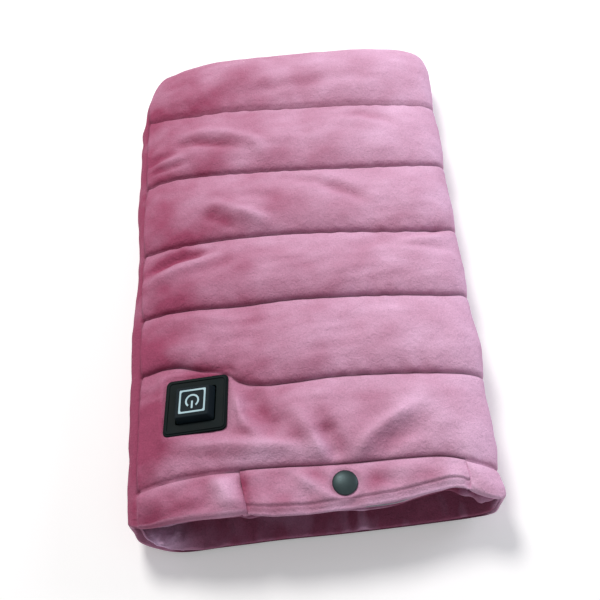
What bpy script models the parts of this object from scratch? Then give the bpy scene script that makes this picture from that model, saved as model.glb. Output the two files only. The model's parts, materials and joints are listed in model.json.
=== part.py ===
"""Rechargeable hand warmer: a quilted plush pouch with a heater, a push switch and a battery pocket.

Metres. X runs across the pouch, Y from its open mouth (-Y) to its closed end (+Y), Z up. The origin is
the middle of the footprint, on the surface that the pouch lies on.
"""
import math

import bmesh
import bpy
import numpy as np
from mathutils import Matrix, Vector

MM = 0.001
MERGE_DISTANCE = 0.001 * MM

# Pouch
POUCH_WIDTH = 220 * MM
POUCH_LENGTH = 380 * MM
TOP_CHANNEL = 73 * MM
SEAM_COUNT = 6
HEM_DEPTH = 27 * MM
FRONT_RISE = 22 * MM
BACK_DROP = 18 * MM
FRONT_CROWN = 6 * MM
BACK_CROWN = 4.5 * MM
SIDE_CROWN = 1.5 * MM
HEM_CROWN = 1.5 * MM
REST_CUT = 0.5 * MM
END_ROUND = 45 * MM
LEFT_CORNER = 35 * MM
RIGHT_CORNER = 18 * MM
MOUTH_SQUARENESS = 3.8
END_SQUARENESS = 2.6
BACK_SQUARENESS = 5.0
END_CURVE = 2.2
CROWN_CURVE = 0.65

# Layers, each as a depth below the seam level of its panel
GAP = 0.3 * MM
SHELL_WALL = 2 * MM
WADDING_BASE = 3 * MM
WIRE_DIAMETER = 1.2 * MM
WIRE_DEPTH = 4.6 * MM
SHEET_DEPTH = 5.5 * MM
SHEET_WALL = 0.6 * MM
LINING_DEPTH = 7.6 * MM
LINING_WALL = 1.5 * MM
LINING_SETBACK = 2 * MM
BACK_WADDING_BASE = WIRE_DEPTH - WIRE_DIAMETER / 2 - GAP
TAPE_WIDTH = 5 * MM
TAPE_WALL = 0.8 * MM

# Battery pocket and its snap
POCKET_FROM_SWITCH = 24 * MM
POCKET_FROM_SIDE = 24 * MM
FLAP_WALL = 2.5 * MM
FLAP_AXIS_RISE = 0.3 * MM
FACING_WALL = 0.6 * MM
BAG_WALL = 0.5 * MM
BAG_EDGE = 1.6 * MM
RAMP_START = 22 * MM
RAMP_RUN = 16 * MM
SNAP_OFFSET = 4.9 * MM
SNAP_SETBACK = 13.8 * MM
SNAP_SEAT = 16 * MM
SNAP_DIAMETER = 14.5 * MM
SNAP_DOME = 2.4 * MM
SNAP_RIM = 0.9 * MM
SNAP_POST = 3 * MM
SOCKET_DIAMETER = 12 * MM
SOCKET_HEIGHT = 2.6 * MM
SOCKET_BORE = 5 * MM
SOCKET_ROOF = 0.7 * MM
STUD_DIAMETER = 12 * MM
STUD_BASE = 0.8 * MM
STUD_NIPPLE = 3.4 * MM
STUD_HEIGHT = 2 * MM
RIVET_DIAMETER = 11 * MM
RIVET_HEAD = 1 * MM
RIVET_POST = 2 * MM

# Switch
SWITCH_FROM_SIDE = 45 * MM
SWITCH_FROM_SEAM = 14.75 * MM
SWITCH_TILT = math.radians(5)
SEAT_RISE = 2.5 * MM
FLANGE_WIDTH = 37 * MM
FLANGE_DEPTH = 34.5 * MM
FLANGE_WALL = 1.6 * MM
FLANGE_CORNER = 5 * MM
RIM_WIDTH = 1.3 * MM
RIM_INSET = 1 * MM
RIM_HEIGHT = 0.6 * MM
WELL_WIDTH = 31 * MM
WELL_DEPTH = 29 * MM
WELL_WALL = 1.5 * MM
WELL_DROP = 5.3 * MM
WELL_CORNER = 3 * MM
COVER_HEIGHT = 2 * MM
COVER_FLOOR = 0.8 * MM
PANEL_MARGIN = 1 * MM
SEAM_BEND = 4 * MM
SEAM_BEND_SPREAD = 30 * MM
KEY_WIDTH = 26.4 * MM
KEY_DEPTH = 24.4 * MM
KEY_TOP_WIDTH = 18.8 * MM
KEY_TOP_DEPTH = 17.8 * MM
KEY_RISE = 4.8 * MM
KEY_WALL = 1.3 * MM
KEY_LIP = 0.6 * MM
KEY_LIP_DROP = 1 * MM
KEY_TRAVEL = 0.8 * MM
ICON_WIDTH = 15.4 * MM
ICON_DEPTH = 14.4 * MM
ICON_LINE = 1 * MM
ICON_WALL = 0.3 * MM
ICON_GAP = 0.05 * MM
ARC_RADIUS = 3.6 * MM
ARC_OPENING = math.radians(76)
BAR_LENGTH = 4.6 * MM
BOARD_WALL = 1 * MM
STEM_DIAMETER = 3.2 * MM
STEM_LENGTH = 2.6 * MM
TACT_WIDTH = 7 * MM
TACT_HEIGHT = 2.4 * MM
LED_WIDTH = 3.2 * MM
LED_HEIGHT = 1.2 * MM
LED_OFFSET = 8.5 * MM

# Heater
HEATER_INSET = 30 * MM
HEATER_FROM_PLUG = 19.5 * MM
HEATER_SETBACK = 1 * MM
WIRE_MARGIN = 7 * MM
WIRE_RUNS = 8
SENSOR_LENGTH = 5 * MM
SENSOR_WIDTH = 3 * MM
SENSOR_LEAD = 1 * MM
BACK_LEAD = 1.6 * MM
BACK_LEAD_DEPTH = 5 * MM
LEAD_SPACING = 2.6 * MM
SPLICE_WIDTH = 12 * MM
SPLICE_LENGTH = 8 * MM

# Battery and its lead
BATTERY_WIDTH = 62 * MM
BATTERY_LENGTH = 90 * MM
BATTERY_HEIGHT = 10 * MM
BATTERY_FROM_MOUTH = 40 * MM
BATTERY_CORNER = 5 * MM
CASE_WALL = 1 * MM
CELL_SIDE_ROOM = 2.4 * MM
CELL_END_ROOM = 12 * MM
CELL_CORNER = 1 * MM
BATTERY_BOARD_WIDTH = 17 * MM
PLUG_SHELL_WIDTH = 12 * MM
PLUG_SHELL_HEIGHT = 4.5 * MM
PLUG_SHELL_LENGTH = 11.7 * MM
METAL_WALL = 0.3 * MM
SOCKET_CLEARANCE = 0.35 * MM
TONGUE_HEIGHT = 1.7 * MM
GRIP_WIDTH = 15.4 * MM
GRIP_HEIGHT = 7.8 * MM
GRIP_LENGTH = 20 * MM
RELIEF_LENGTH = 7 * MM
PLUG_LEAD = 2.6 * MM
PORT_WIDTH = 9 * MM
PORT_HEIGHT = 3.2 * MM
PORT_LENGTH = 7 * MM
BUTTON_WIDTH = 7 * MM
BUTTON_HEIGHT = 3 * MM
BUTTON_TRAVEL = 0.5 * MM
BUTTON_SHANK = 4 * MM
BUTTON_SPACING = 2 * MM
LIGHTS_WIDTH = 14 * MM
LIGHTS_HEIGHT = 1.6 * MM
LIGHTS_SPACING = 5 * MM
LIGHTS_DEPTH = 5 * MM

OVERRUN = 5 * MM

# Routes of the leads between the layers, in shares of the sizes that they follow
LEAD_TURN = 16 * MM
BULGE_RUN_SHARE = 0.7
PLUG_EXIT_SHARE = 0.25
RETURN_STOP_SHARE = 0.8
SENSOR_SHARE = 0.4
SPLICE_SHARE = 0.4
LEAD_FRONT_SHARES = (0.82, 0.9, 0.96, 0.99)
LEAD_BACK_SHARES = (0.995, 0.97, 0.9, 0.8)
LEAD_ROUTE_SHARES = ((0.8, 0.07, 0.35), (1.0, 0.25, 0.65), (0.8, 0.48, 0.9), (0.2, 0.68, 1.0),
                     (-0.2, 0.82, 1.0), (-0.45, 0.91, 1.0), (-0.7, 0.97, 1.0), (-0.9, 1.0, 1.0))
RELIEF_SHARES = (1.8, 1.2)
NECK_SHOULDER_SHARES = (0.1, 0.9)

# Places worked out from the sizes above
HALF_LENGTH = POUCH_LENGTH / 2
MOUTH_Y = -HALF_LENGTH
BASE_HALF = POUCH_WIDTH / 2 - SIDE_CROWN
FOLD_Z = BACK_DROP + BACK_CROWN - REST_CUT
FIRST_SEAM = MOUTH_Y + HEM_DEPTH
SEAM_PITCH = (POUCH_LENGTH - HEM_DEPTH - TOP_CHANNEL) / (SEAM_COUNT - 1)
SEAMS = [FIRST_SEAM + SEAM_PITCH * number for number in range(SEAM_COUNT)]
SWITCH_SEAM = SEAMS[1]
SWITCH_X = SWITCH_FROM_SIDE - POUCH_WIDTH / 2
SWITCH_Y = SWITCH_SEAM - SWITCH_FROM_SEAM
POCKET_LEFT = SWITCH_X + POCKET_FROM_SWITCH
POCKET_RIGHT = POUCH_WIDTH / 2 - POCKET_FROM_SIDE
BATTERY_X = (POCKET_LEFT + POCKET_RIGHT) / 2
SNAP_X = BATTERY_X - SNAP_OFFSET
SNAP_Y = MOUTH_Y + SNAP_SETBACK
BATTERY_START = MOUTH_Y + BATTERY_FROM_MOUTH
BATTERY_END = BATTERY_START + BATTERY_LENGTH
HEM_FOLD = SNAP_SETBACK - SNAP_SEAT / 2
HEM_STEP = SNAP_SEAT
BOARD_LEFT = CASE_WALL + GAP - BATTERY_WIDTH / 2
CELL_WIDTH = BATTERY_WIDTH - 2 * CASE_WALL - 2 * GAP - BATTERY_BOARD_WIDTH - CELL_SIDE_ROOM
CELL_LENGTH = BATTERY_LENGTH - 2 * CASE_WALL - CELL_END_ROOM
PORT_OFFSET = BOARD_LEFT + BATTERY_BOARD_WIDTH / 2
PLUG_X = BATTERY_X + PORT_OFFSET
PLUG_SOCKET_HEIGHT = PLUG_SHELL_HEIGHT + 2 * SOCKET_CLEARANCE + 2 * METAL_WALL
PLUG_RISE = CASE_WALL + GAP + BOARD_WALL + GAP + PLUG_SOCKET_HEIGHT / 2 - BATTERY_HEIGHT / 2
GRIP_END = BATTERY_END + GAP + GRIP_LENGTH
RELIEF_END = GRIP_END + RELIEF_LENGTH
BULGE_LEFT = BATTERY_X - BATTERY_WIDTH / 2 - BATTERY_CORNER
BULGE_RIGHT = BATTERY_X + BATTERY_WIDTH / 2 + BATTERY_CORNER
BULGE_END = RELIEF_END + LEAD_TURN * BULGE_RUN_SHARE
HEATER_HALF_WIDTH = POUCH_WIDTH / 2 - HEATER_INSET
FRONT_HEATER_START = BULGE_END + HEATER_FROM_PLUG
BACK_HEATER_START = SWITCH_SEAM + WIRE_MARGIN
HEATER_END = SEAMS[-1] - HEATER_SETBACK

# Columns and rows of the panels' grids
SIDE_SHARES = (0.992, 0.963, 0.894)
FRONT_CROWN_SHARES = (0.14, 0.5, 0.86)
BACK_CROWN_SHARES = (0.25, 0.5, 0.75)
BACK_MIDDLE_SHARES = (0.66, 0.33)
SIDE_FADE_POWER = 6
END_TURN_SHARES = (0.0, 0.28, 0.55, 0.79, 1.0)


def srgb(hex_colour):
    """Linear colour of an sRGB hex value."""
    channels = [int(hex_colour[at:at + 2], 16) / 255 for at in (1, 3, 5)]
    return [value / 12.92 if value <= 0.04045 else ((value + 0.055) / 1.055) ** 2.4 for value in channels]


def finish(name, hex_colour, roughness, metallic=0.0):
    """Principled material of one colour."""
    material = bpy.data.materials.new(name)
    material.use_nodes = True
    shader = material.node_tree.nodes["Principled BSDF"]
    shader.inputs["Base Color"].default_value = (*srgb(hex_colour), 1.0)
    shader.inputs["Roughness"].default_value = roughness
    shader.inputs["Metallic"].default_value = metallic
    return material


PLUSH = ("#C27C9E", 0.95)
LINING = ("#9A5E80", 0.95)
WADDING = ("#EDEBE6", 1.0)
TAFFETA = ("#A9A7AE", 0.6)
SHEET = ("#3B3B40", 0.8)
WIRE = ("#B03A2E", 0.5)
BLACK_ABS = ("#1E2426", 0.45)
CYAN_PRINT = ("#B5D0D5", 0.4)
BOARD_GREEN = ("#2F6B45", 0.5)
STEEL = ("#B8BCC0", 0.3, 1.0)
SNAP_METAL = ("#3A4545", 0.35, 0.9)
BATTERY_WHITE = ("#E9EAEC", 0.4)
FOIL = ("#9FB3C8", 0.35, 0.6)


def add_mesh(name, points, faces, look, parent=None, place=None, origin=None, smooth=True):
    """Object of a closed mesh, its points given in its parent's space or in the space of its place."""
    mesh = bpy.data.meshes.new(name)
    shift = Vector(origin) if origin else Vector((0, 0, 0))
    mesh.from_pydata([Vector(point) - shift for point in points], [], faces)
    shape = bmesh.new()
    shape.from_mesh(mesh)
    bmesh.ops.remove_doubles(shape, verts=shape.verts, dist=MERGE_DISTANCE)
    bmesh.ops.recalc_face_normals(shape, faces=shape.faces)
    shape.to_mesh(mesh)
    shape.free()
    if smooth:
        mesh.shade_smooth()
        mesh.set_sharp_from_angle(angle=math.radians(35))
    node = bpy.data.objects.new(name, mesh)
    bpy.context.scene.collection.objects.link(node)
    mesh.materials.append(finish(name, *look))
    if parent:
        node.parent = parent
    node.matrix_local = Matrix.Translation(shift) @ (place or Matrix.Identity(4))
    return node


def add_empty(name, place):
    """Empty that carries the pieces of one sub-assembly."""
    empty = bpy.data.objects.new(name, None)
    bpy.context.scene.collection.objects.link(empty)
    empty.matrix_local = place
    return empty


def cut(node, *cutters):
    """Exact Boolean difference with each cutter, which stays hidden."""
    for cutter in cutters:
        cutter.hide_render = True
        cutter.display_type = "WIRE"
        step = node.modifiers.new(cutter.name, "BOOLEAN")
        step.operation = "DIFFERENCE"
        step.object = cutter


def rounded_loop(half_x, half_y, radius, z, segments=4):
    """Points of a rounded rectangle, or of a circle where the radius is both halves."""
    points = []
    for corner in range(4):
        sign_x = 1 if corner in (0, 3) else -1
        sign_y = 1 if corner in (0, 1) else -1
        for step in range(segments + 1):
            angle = math.pi / 2 * (corner + step / segments)
            points.append((sign_x * (half_x - radius) + radius * math.cos(angle),
                           sign_y * (half_y - radius) + radius * math.sin(angle), z))
    return points


def circle_loop(diameter, z, segments=5):
    """Points of a circle of a diameter."""
    return rounded_loop(diameter / 2, diameter / 2, diameter / 2, z, segments)


def join_loops(loops, ring):
    """Faces between loops of equal counts: a ring's last loop meets its first, other shapes get caps."""
    points = [point for loop in loops for point in loop]
    count = len(loops[0])
    bands = len(loops) if ring else len(loops) - 1
    faces = []
    for band in range(bands):
        low = band * count
        high = (band + 1) % len(loops) * count
        for side in range(count):
            after = (side + 1) % count
            faces.append((low + side, low + after, high + after, high + side))
    if not ring:
        faces.append(tuple(reversed(range(count))))
        faces.append(tuple(range((len(loops) - 1) * count, len(loops) * count)))
    return points, faces


def add_loops(name, loops, look, ring=False, **where):
    """Closed solid through a row of loops."""
    points, faces = join_loops(loops, ring)
    return add_mesh(name, points, faces, look, **where)


def add_box(name, low, high, look, **where):
    """Plain box between two corners."""
    loops = [[(low[0], low[1], z), (high[0], low[1], z), (high[0], high[1], z), (low[0], high[1], z)]
             for z in (low[2], high[2])]
    return add_loops(name, loops, look, smooth=False, **where)


def add_tube(name, points, diameter, look, resolution=1):
    """Round tube along a list of points, with filled caps."""
    curve = bpy.data.curves.new(name, "CURVE")
    curve.dimensions = "3D"
    curve.bevel_depth = diameter / 2
    curve.bevel_resolution = resolution
    curve.use_fill_caps = True
    spline = curve.splines.new("POLY")
    spline.points.add(len(points) - 1)
    for spot, point in zip(spline.points, points):
        spot.co = (*point, 1.0)
    node = bpy.data.objects.new(name, curve)
    bpy.context.scene.collection.objects.link(node)
    curve.materials.append(finish(name, *look))
    return node


def smooth_route(points, steps):
    """Catmull-Rom curve through the route's own points."""
    route = [np.array(point) for point in points]
    ends = [2 * route[0] - route[1]] + route + [2 * route[-1] - route[-2]]
    curve = []
    for at in range(1, len(ends) - 2):
        before, start, end, after = ends[at - 1:at + 3]
        for step in range(steps):
            t = step / steps
            bend = 2 * before - 5 * start + 4 * end - after
            twist = 3 * start - 3 * end + after - before
            curve.append(0.5 * (2 * start + (end - before) * t + bend * t ** 2 + twist * t ** 3))
    curve.append(route[-1])
    return [tuple(point) for point in curve]


# The pouch's form: a flattened tube with a rounded closed end

def squareness(y):
    """Exponent of the front panel's section, squarer at the mouth."""
    share = (y - MOUTH_Y) / POUCH_LENGTH
    return MOUTH_SQUARENESS + (END_SQUARENESS - MOUTH_SQUARENESS) * share


def half_width(x, y, inset=0.0):
    """Half width at the seam level or inside it, drawn in round the corners of the closed end."""
    corner = np.where(x < 0, LEFT_CORNER, RIGHT_CORNER) - inset
    turn = np.clip((y - (HALF_LENGTH - inset - corner)) / corner, 0, 1)
    return BASE_HALF - inset - corner * (1 - np.sqrt(1 - turn ** 2))


def panel_lift(x, y, front, inset=0.0):
    """Height above or below the side fold, as a superellipse across and along the closed end."""
    across = np.abs(x) / BASE_HALF
    power = squareness(y) if front else BACK_SQUARENESS
    turn = np.clip((y - (HALF_LENGTH - END_ROUND)) / (END_ROUND - inset), 0, 1)
    height = (FRONT_RISE if front else BACK_DROP) - inset
    return height * (1 - across ** power) ** (1 / power) * (1 - turn ** END_CURVE) ** (1 / END_CURVE)


def panel_points(x, y, front, inset=0.0):
    """Points of a panel at an inset from its seam level, for x and y as on its straight part."""
    side = 1 if front else -1
    height = FOLD_Z + side * (GAP / 2 + panel_lift(x, y, front, inset))
    return np.stack([x / BASE_HALF * half_width(x, y, inset), y + 0 * x, height], axis=-1)


def seam_bend(x, y):
    """Shift of the seam above the switch, which bends round its flange."""
    low = SWITCH_Y
    full = SWITCH_SEAM - PANEL_MARGIN
    rising = np.clip((y - low) / (full - low), 0, 1)
    falling = np.clip(1 - (y - SWITCH_SEAM) / SEAM_PITCH, 0, 1)
    return SEAM_BEND * np.exp(-((x - SWITCH_X) / SEAM_BEND_SPREAD) ** 2) * rising * falling


def crown_height(x, y, front):
    """Height of the padding over the seam level: nothing on a seam and full between two."""
    edges = [MOUTH_Y] + SEAMS + [HALF_LENGTH]
    height = np.zeros_like(y)
    for number, (start, end) in enumerate(zip(edges, edges[1:])):
        crown = HEM_CROWN if number == 0 else FRONT_CROWN if front else BACK_CROWN
        wave = np.sin(np.pi * np.clip((y - start) / (end - start), 0, 1))
        wave = wave ** CROWN_CURVE if front else np.minimum(1, wave * math.sqrt(2))
        side = min(SIDE_CROWN / crown, 1)
        share = side + (1 - side) * (1 - (np.abs(x) / BASE_HALF) ** SIDE_FADE_POWER)
        inside = (y >= start) & (y <= end)
        height = np.where(inside, crown * wave * share, height)
    return height


def grid_normals(points, front):
    """Outward normals of a panel's grid, level along the side folds and the closed end."""
    rising = points[1:, :-1] - points[:-1, 1:]
    falling = points[1:, 1:] - points[:-1, :-1]
    faces = np.cross(falling, rising)
    normals = np.zeros_like(points)
    for rows, columns in ((slice(0, -1), slice(0, -1)), (slice(0, -1), slice(1, None)),
                          (slice(1, None), slice(0, -1)), (slice(1, None), slice(1, None))):
        normals[rows, columns] += faces
    if not front:
        normals = -normals
    normals[0, :, 1] = 0
    normals[-1, :, 2] = 0
    normals[:, (0, -1), 2] = 0
    return normals / np.linalg.norm(normals, axis=-1, keepdims=True)


def panel_grid(columns, rows, front):
    """Grid of a panel: its flat places, its seam-level points and their outward normals."""
    x, y = np.meshgrid(np.array(columns), np.array(rows))
    points = panel_points(x, y, front)
    normals = grid_normals(points, front)
    if front:
        points[..., 1] += seam_bend(x, y)
    return x, y, points, normals


def add_sheet(name, outer, inner, look, kept=None, **where):
    """Closed solid between two grids of points, over the quads that are kept."""
    rows, columns = outer.shape[:2]
    kept = np.ones((rows - 1, columns - 1), bool) if kept is None else kept
    points = np.concatenate([outer.reshape(-1, 3), inner.reshape(-1, 3)])
    under = rows * columns
    faces = []

    def open_side(row, column):
        return not (0 <= row < rows - 1 and 0 <= column < columns - 1 and kept[row, column])

    for row, column in zip(*np.nonzero(kept)):
        a = int(row * columns + column)
        b, c, d = a + 1, a + columns + 1, a + columns
        faces += [(a, b, c), (a, c, d), (c + under, b + under, a + under), (d + under, c + under, a + under)]
        if open_side(row - 1, column):
            faces.append((a, a + under, b + under, b))
        if open_side(row, column + 1):
            faces.append((b, b + under, c + under, c))
        if open_side(row + 1, column):
            faces.append((c, c + under, d + under, d))
        if open_side(row, column - 1):
            faces.append((d, d + under, a + under, a))
    used = sorted({corner for face in faces for corner in face})
    number = {corner: place for place, corner in enumerate(used)}
    faces = [tuple(number[corner] for corner in face) for face in faces]
    return add_mesh(name, [tuple(points[corner]) for corner in used], faces, look, **where)


def layer_point(x, y, front, depth):
    """Point at a depth below the seam level, from the gradient of the section's superellipse."""
    power = squareness(y) if front else BACK_SQUARENESS
    height = FRONT_RISE if front else BACK_DROP
    lift = float(panel_lift(np.float64(x), np.float64(y), front))
    slope = np.array([(abs(x) / BASE_HALF) ** (power - 1) / BASE_HALF * math.copysign(1, x),
                      (lift / height) ** (power - 1) / height])
    slope /= np.linalg.norm(slope)
    side = 1 if front else -1
    return (x - slope[0] * depth, y, FOLD_Z + side * (lift - slope[1] * depth))


def bulge_share(x, y):
    """How far the lining hangs down round the battery: full under it, nothing past its pocket."""
    across = np.interp(x, (POCKET_LEFT, BULGE_LEFT, BULGE_RIGHT, POCKET_RIGHT), (0, 1, 1, 0))
    start = MOUTH_Y + RAMP_START
    along = np.interp(y, (start, start + RAMP_RUN, BULGE_END, FRONT_HEATER_START), (0, 1, 1, 0))
    return across * along


def crown_rows(shares):
    """Rows of the channels between the seams, each seam with the rows after it."""
    rows = []
    for seam in SEAMS[:-1]:
        rows += [seam] + [seam + SEAM_PITCH * share for share in shares]
    return rows + [SEAMS[-1]]


def end_rows(inset=0.0):
    """Rows round the closed end, as sines of its turn."""
    start = HALF_LENGTH - END_ROUND
    return [start + (END_ROUND - inset) * math.sin(share * math.pi / 2) for share in END_TURN_SHARES]


def side_columns():
    """Columns of one side, from the fold inwards."""
    return [BASE_HALF] + [BASE_HALF * share for share in SIDE_SHARES]


def hem_depths(y):
    """Depth of the shell's inner side: the folded hem at the mouth, and the plain wall past it."""
    fold = MOUTH_Y + HEM_FOLD
    return np.interp(y, (fold, fold + HEM_STEP), (LINING_DEPTH - 3 * GAP, SHELL_WALL))


# Where the layers of the front panel let the battery lie
BATTERY_RIGHT = BATTERY_X + BATTERY_WIDTH / 2
ROOF_Z = layer_point(BATTERY_RIGHT + BAG_EDGE, BATTERY_START, True, WADDING_BASE)[2] - GAP
BATTERY_TOP = ROOF_Z - BAG_WALL - GAP
BATTERY_BOTTOM = BATTERY_TOP - BATTERY_HEIGHT
BATTERY_Z = (BATTERY_TOP + BATTERY_BOTTOM) / 2
PLUG_Z = BATTERY_Z + PLUG_RISE
BAG_FLOOR = BATTERY_BOTTOM - GAP - BAG_WALL
BULGE = layer_point(BATTERY_X, BATTERY_START, True, LINING_DEPTH)[2] - (BAG_FLOOR - GAP)

# Where the snap sits, on the flap and on the inner lip
LIP_Z = layer_point(SNAP_X, SNAP_Y, True, 0)[2]
SNAP_SEAT_Z = LIP_Z + HEM_CROWN

# Where the switch sits
SEAT_Z = layer_point(SWITCH_X, SWITCH_Y, True, 0)[2] + SEAT_RISE
SWITCH_PLACE = Matrix.Translation((SWITCH_X, SWITCH_Y, SEAT_Z)) @ Matrix.Rotation(-SWITCH_TILT, 4, "X")
SEAT_HALF_X = FLANGE_WIDTH / 2 + PANEL_MARGIN
SEAT_HALF_Y = FLANGE_DEPTH / 2 + PANEL_MARGIN
HOLE_HALF_X = WELL_WIDTH / 2 + PANEL_MARGIN / 2
HOLE_HALF_Y = WELL_DEPTH / 2 + PANEL_MARGIN


def front_columns():
    """Columns of the front panel, with the edges of the switch's seat and of the pocket flap."""
    sides = side_columns()
    return ([-x for x in sides]
            + [SWITCH_X - SEAT_HALF_X, SWITCH_X - HOLE_HALF_X, SWITCH_X + HOLE_HALF_X, SWITCH_X + SEAT_HALF_X]
            + [POCKET_LEFT - GAP / 2, POCKET_LEFT + GAP / 2]
            + [SNAP_X - SNAP_SEAT / 2, SNAP_X + SNAP_SEAT / 2]
            + [(SNAP_X + SNAP_SEAT / 2 + POCKET_RIGHT) / 2]
            + [POCKET_RIGHT - GAP / 2, POCKET_RIGHT + GAP / 2]
            + sides[::-1])


def front_rows():
    """Rows of the front panel, with the flap's hinge line and the edges of the switch's seat."""
    channel = crown_rows(FRONT_CROWN_SHARES)
    fold = MOUTH_Y + HEM_FOLD
    first = [MOUTH_Y, fold, fold + HEM_STEP, FIRST_SEAM - GAP / 2, FIRST_SEAM + GAP / 2]
    switch = [channel[1], SWITCH_Y - SEAT_HALF_Y, SWITCH_Y - HOLE_HALF_Y, SWITCH_Y,
              SWITCH_SEAM - PANEL_MARGIN * 2]
    last = [SEAMS[-1] + (HALF_LENGTH - SEAMS[-1]) * FRONT_CROWN_SHARES[0]]
    return first + switch + channel[4:] + last + end_rows()


def build_front():
    """Front shell, its wadding and the pocket flap, cut from one grid."""
    columns, rows = front_columns(), front_rows()
    x, y, points, normals = panel_grid(columns, rows, True)
    flap_left = columns.index(POCKET_LEFT - GAP / 2)
    flap_right = columns.index(POCKET_RIGHT + GAP / 2)
    hinge = rows.index(FIRST_SEAM + GAP / 2)
    for slit in (flap_left, flap_right - 1):
        normals[:hinge + 1, slit:slit + 2] = (0, 0, 1)
    crown = crown_height(x, y, True)[..., None]
    outer = points + normals * crown
    snap_seat = (slice(1, 3), slice(flap_left + 2, flap_left + 4))
    outer[snap_seat][..., 2] = SNAP_SEAT_Z
    inner = points - normals * hem_depths(y)[..., None] + normals * crown
    fold_rows = y[:, :1] < MOUTH_Y + HEM_FOLD + HEM_STEP / 2
    inner = np.where(fold_rows[..., None], points - normals * hem_depths(y)[..., None], inner)
    pad_top = inner - normals * GAP
    pad_floor = points - normals * WADDING_BASE

    left, right = columns.index(SWITCH_X - SEAT_HALF_X), columns.index(SWITCH_X + SEAT_HALF_X)
    low, high = rows.index(SWITCH_Y - SEAT_HALF_Y), rows.index(SWITCH_SEAM)
    seat = (slice(low, high + 1), slice(left, right + 1))
    plane = SEAT_Z - GAP - math.tan(SWITCH_TILT) * (points[seat][..., 1] - SWITCH_Y)
    for grid, drop in ((outer, 0), (inner, SHELL_WALL), (pad_top, SHELL_WALL + GAP)):
        grid[seat] = points[seat]
        grid[seat][..., 2] = plane - drop

    shell_kept = np.ones((len(rows) - 1, len(columns) - 1), bool)
    shell_kept[:hinge, flap_left:flap_right] = False
    shell_kept[low + 1:high - 1, left + 1:right - 1] = False
    add_sheet("front_shell", outer, inner, PLUSH, shell_kept)

    pad_kept = shell_kept.copy()
    sides = len(SIDE_SHARES)
    pad_kept[:hinge] = False
    pad_kept[:, :sides] = False
    pad_kept[:, -sides:] = False
    pad_kept[-len(END_TURN_SHARES) // 2:] = False
    add_sheet("front_wadding", pad_top, pad_floor, WADDING, pad_kept)

    flap = (slice(0, hinge), slice(flap_left + 1, flap_right))
    flap_inner = outer[flap].copy()
    flap_inner[..., 2] -= FLAP_WALL
    axis_z = float(outer[hinge, flap_left + 1:flap_right, 2].max()) + FLAP_AXIS_RISE
    hinge_place = (0, FIRST_SEAM, axis_z)
    node = add_sheet("pocket_flap", outer[flap], flap_inner, PLUSH, origin=hinge_place)
    return node, hinge_place


def back_columns():
    """Columns of the back panel."""
    inward = side_columns() + [BASE_HALF * share for share in BACK_MIDDLE_SHARES]
    return [-x for x in inward] + [0] + inward[::-1]


def build_back():
    """Back shell, flat where it rests, and its wadding."""
    columns = back_columns()
    fold = MOUTH_Y + HEM_FOLD
    last = [SEAMS[-1] + (HALF_LENGTH - SEAMS[-1]) * BACK_CROWN_SHARES[0]]
    rows = [MOUTH_Y, fold, fold + HEM_STEP] + crown_rows(BACK_CROWN_SHARES) + last + end_rows()
    x, y, points, normals = panel_grid(columns, rows, False)
    crown = crown_height(x, y, False)[..., None]
    outer = points + normals * crown
    outer[..., 2] = np.maximum(outer[..., 2], 0)
    depths = hem_depths(y)[..., None]
    folded = y[..., None] < fold + HEM_STEP / 2
    inner = points - normals * depths + normals * np.where(folded, 0, crown)
    pad_floor = points - normals * BACK_WADDING_BASE
    pad_top = inner - normals * GAP
    add_sheet("back_shell", outer, inner, PLUSH)
    kept = np.ones((len(rows) - 1, len(columns) - 1), bool)
    kept[:2] = False
    kept[:, :len(SIDE_SHARES)] = False
    kept[:, -len(SIDE_SHARES):] = False
    kept[-len(END_TURN_SHARES) // 2:] = False
    add_sheet("back_wadding", pad_top, pad_floor, WADDING, kept)


def build_linings():
    """Plush linings: the front one hangs down round the battery pocket."""
    sides = side_columns()
    start = MOUTH_Y + LINING_SETBACK
    ramp = MOUTH_Y + RAMP_START
    spread = BASE_HALF / (BASE_HALF - LINING_DEPTH)
    bulge = [x * spread for x in (POCKET_LEFT, BULGE_LEFT, BATTERY_X, BULGE_RIGHT, POCKET_RIGHT)]
    lining_columns = [-x for x in sides] + [SWITCH_X - SEAT_HALF_X] + bulge + sides[::-1]
    lining_rows = [start, ramp, ramp + RAMP_RUN, SWITCH_SEAM, BULGE_END, FRONT_HEATER_START, SEAMS[4]]
    made = {}
    for name, front, columns, rows in (("front_lining", True, lining_columns, lining_rows),
                                       ("back_lining", False, back_columns(), [start, 0])):
        skins = []
        for inset in (LINING_DEPTH, LINING_DEPTH + LINING_WALL):
            x, y = np.meshgrid(np.array(columns), np.array(rows + end_rows(inset)))
            points = panel_points(x, y, front, inset)
            if front:
                points[..., 2] -= bulge_share(points[..., 0], y) * BULGE
            skins.append(points)
        made[name] = add_sheet(name, *skins, LINING)
    side = BASE_HALF - SHELL_WALL - 2 * GAP
    add_box("side_seam_tape", (-side, MOUTH_Y + HEM_FOLD + HEM_STEP, FOLD_Z - TAPE_WIDTH / 2),
            (-side + TAPE_WALL, HALF_LENGTH - END_ROUND, FOLD_Z + TAPE_WIDTH / 2), TAFFETA)
    return made["front_lining"]


def pocket_ring(y, left, right, floor, roof, wall):
    """Section of the pocket bag: flat over and under the battery, drawn in to thin sides."""
    width = right[0] - left[0]
    shoulder_left = left[0] + width * floor[0] + wall
    shoulder_right = left[0] + width * floor[1] - wall
    return [(left[0] + 2 * wall, y, left[1]), (shoulder_left, y, floor[2] + wall),
            (shoulder_right, y, floor[2] + wall), (right[0] - 2 * wall, y, right[1]),
            (shoulder_right, y, roof - wall), (shoulder_left, y, roof - wall)]


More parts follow.
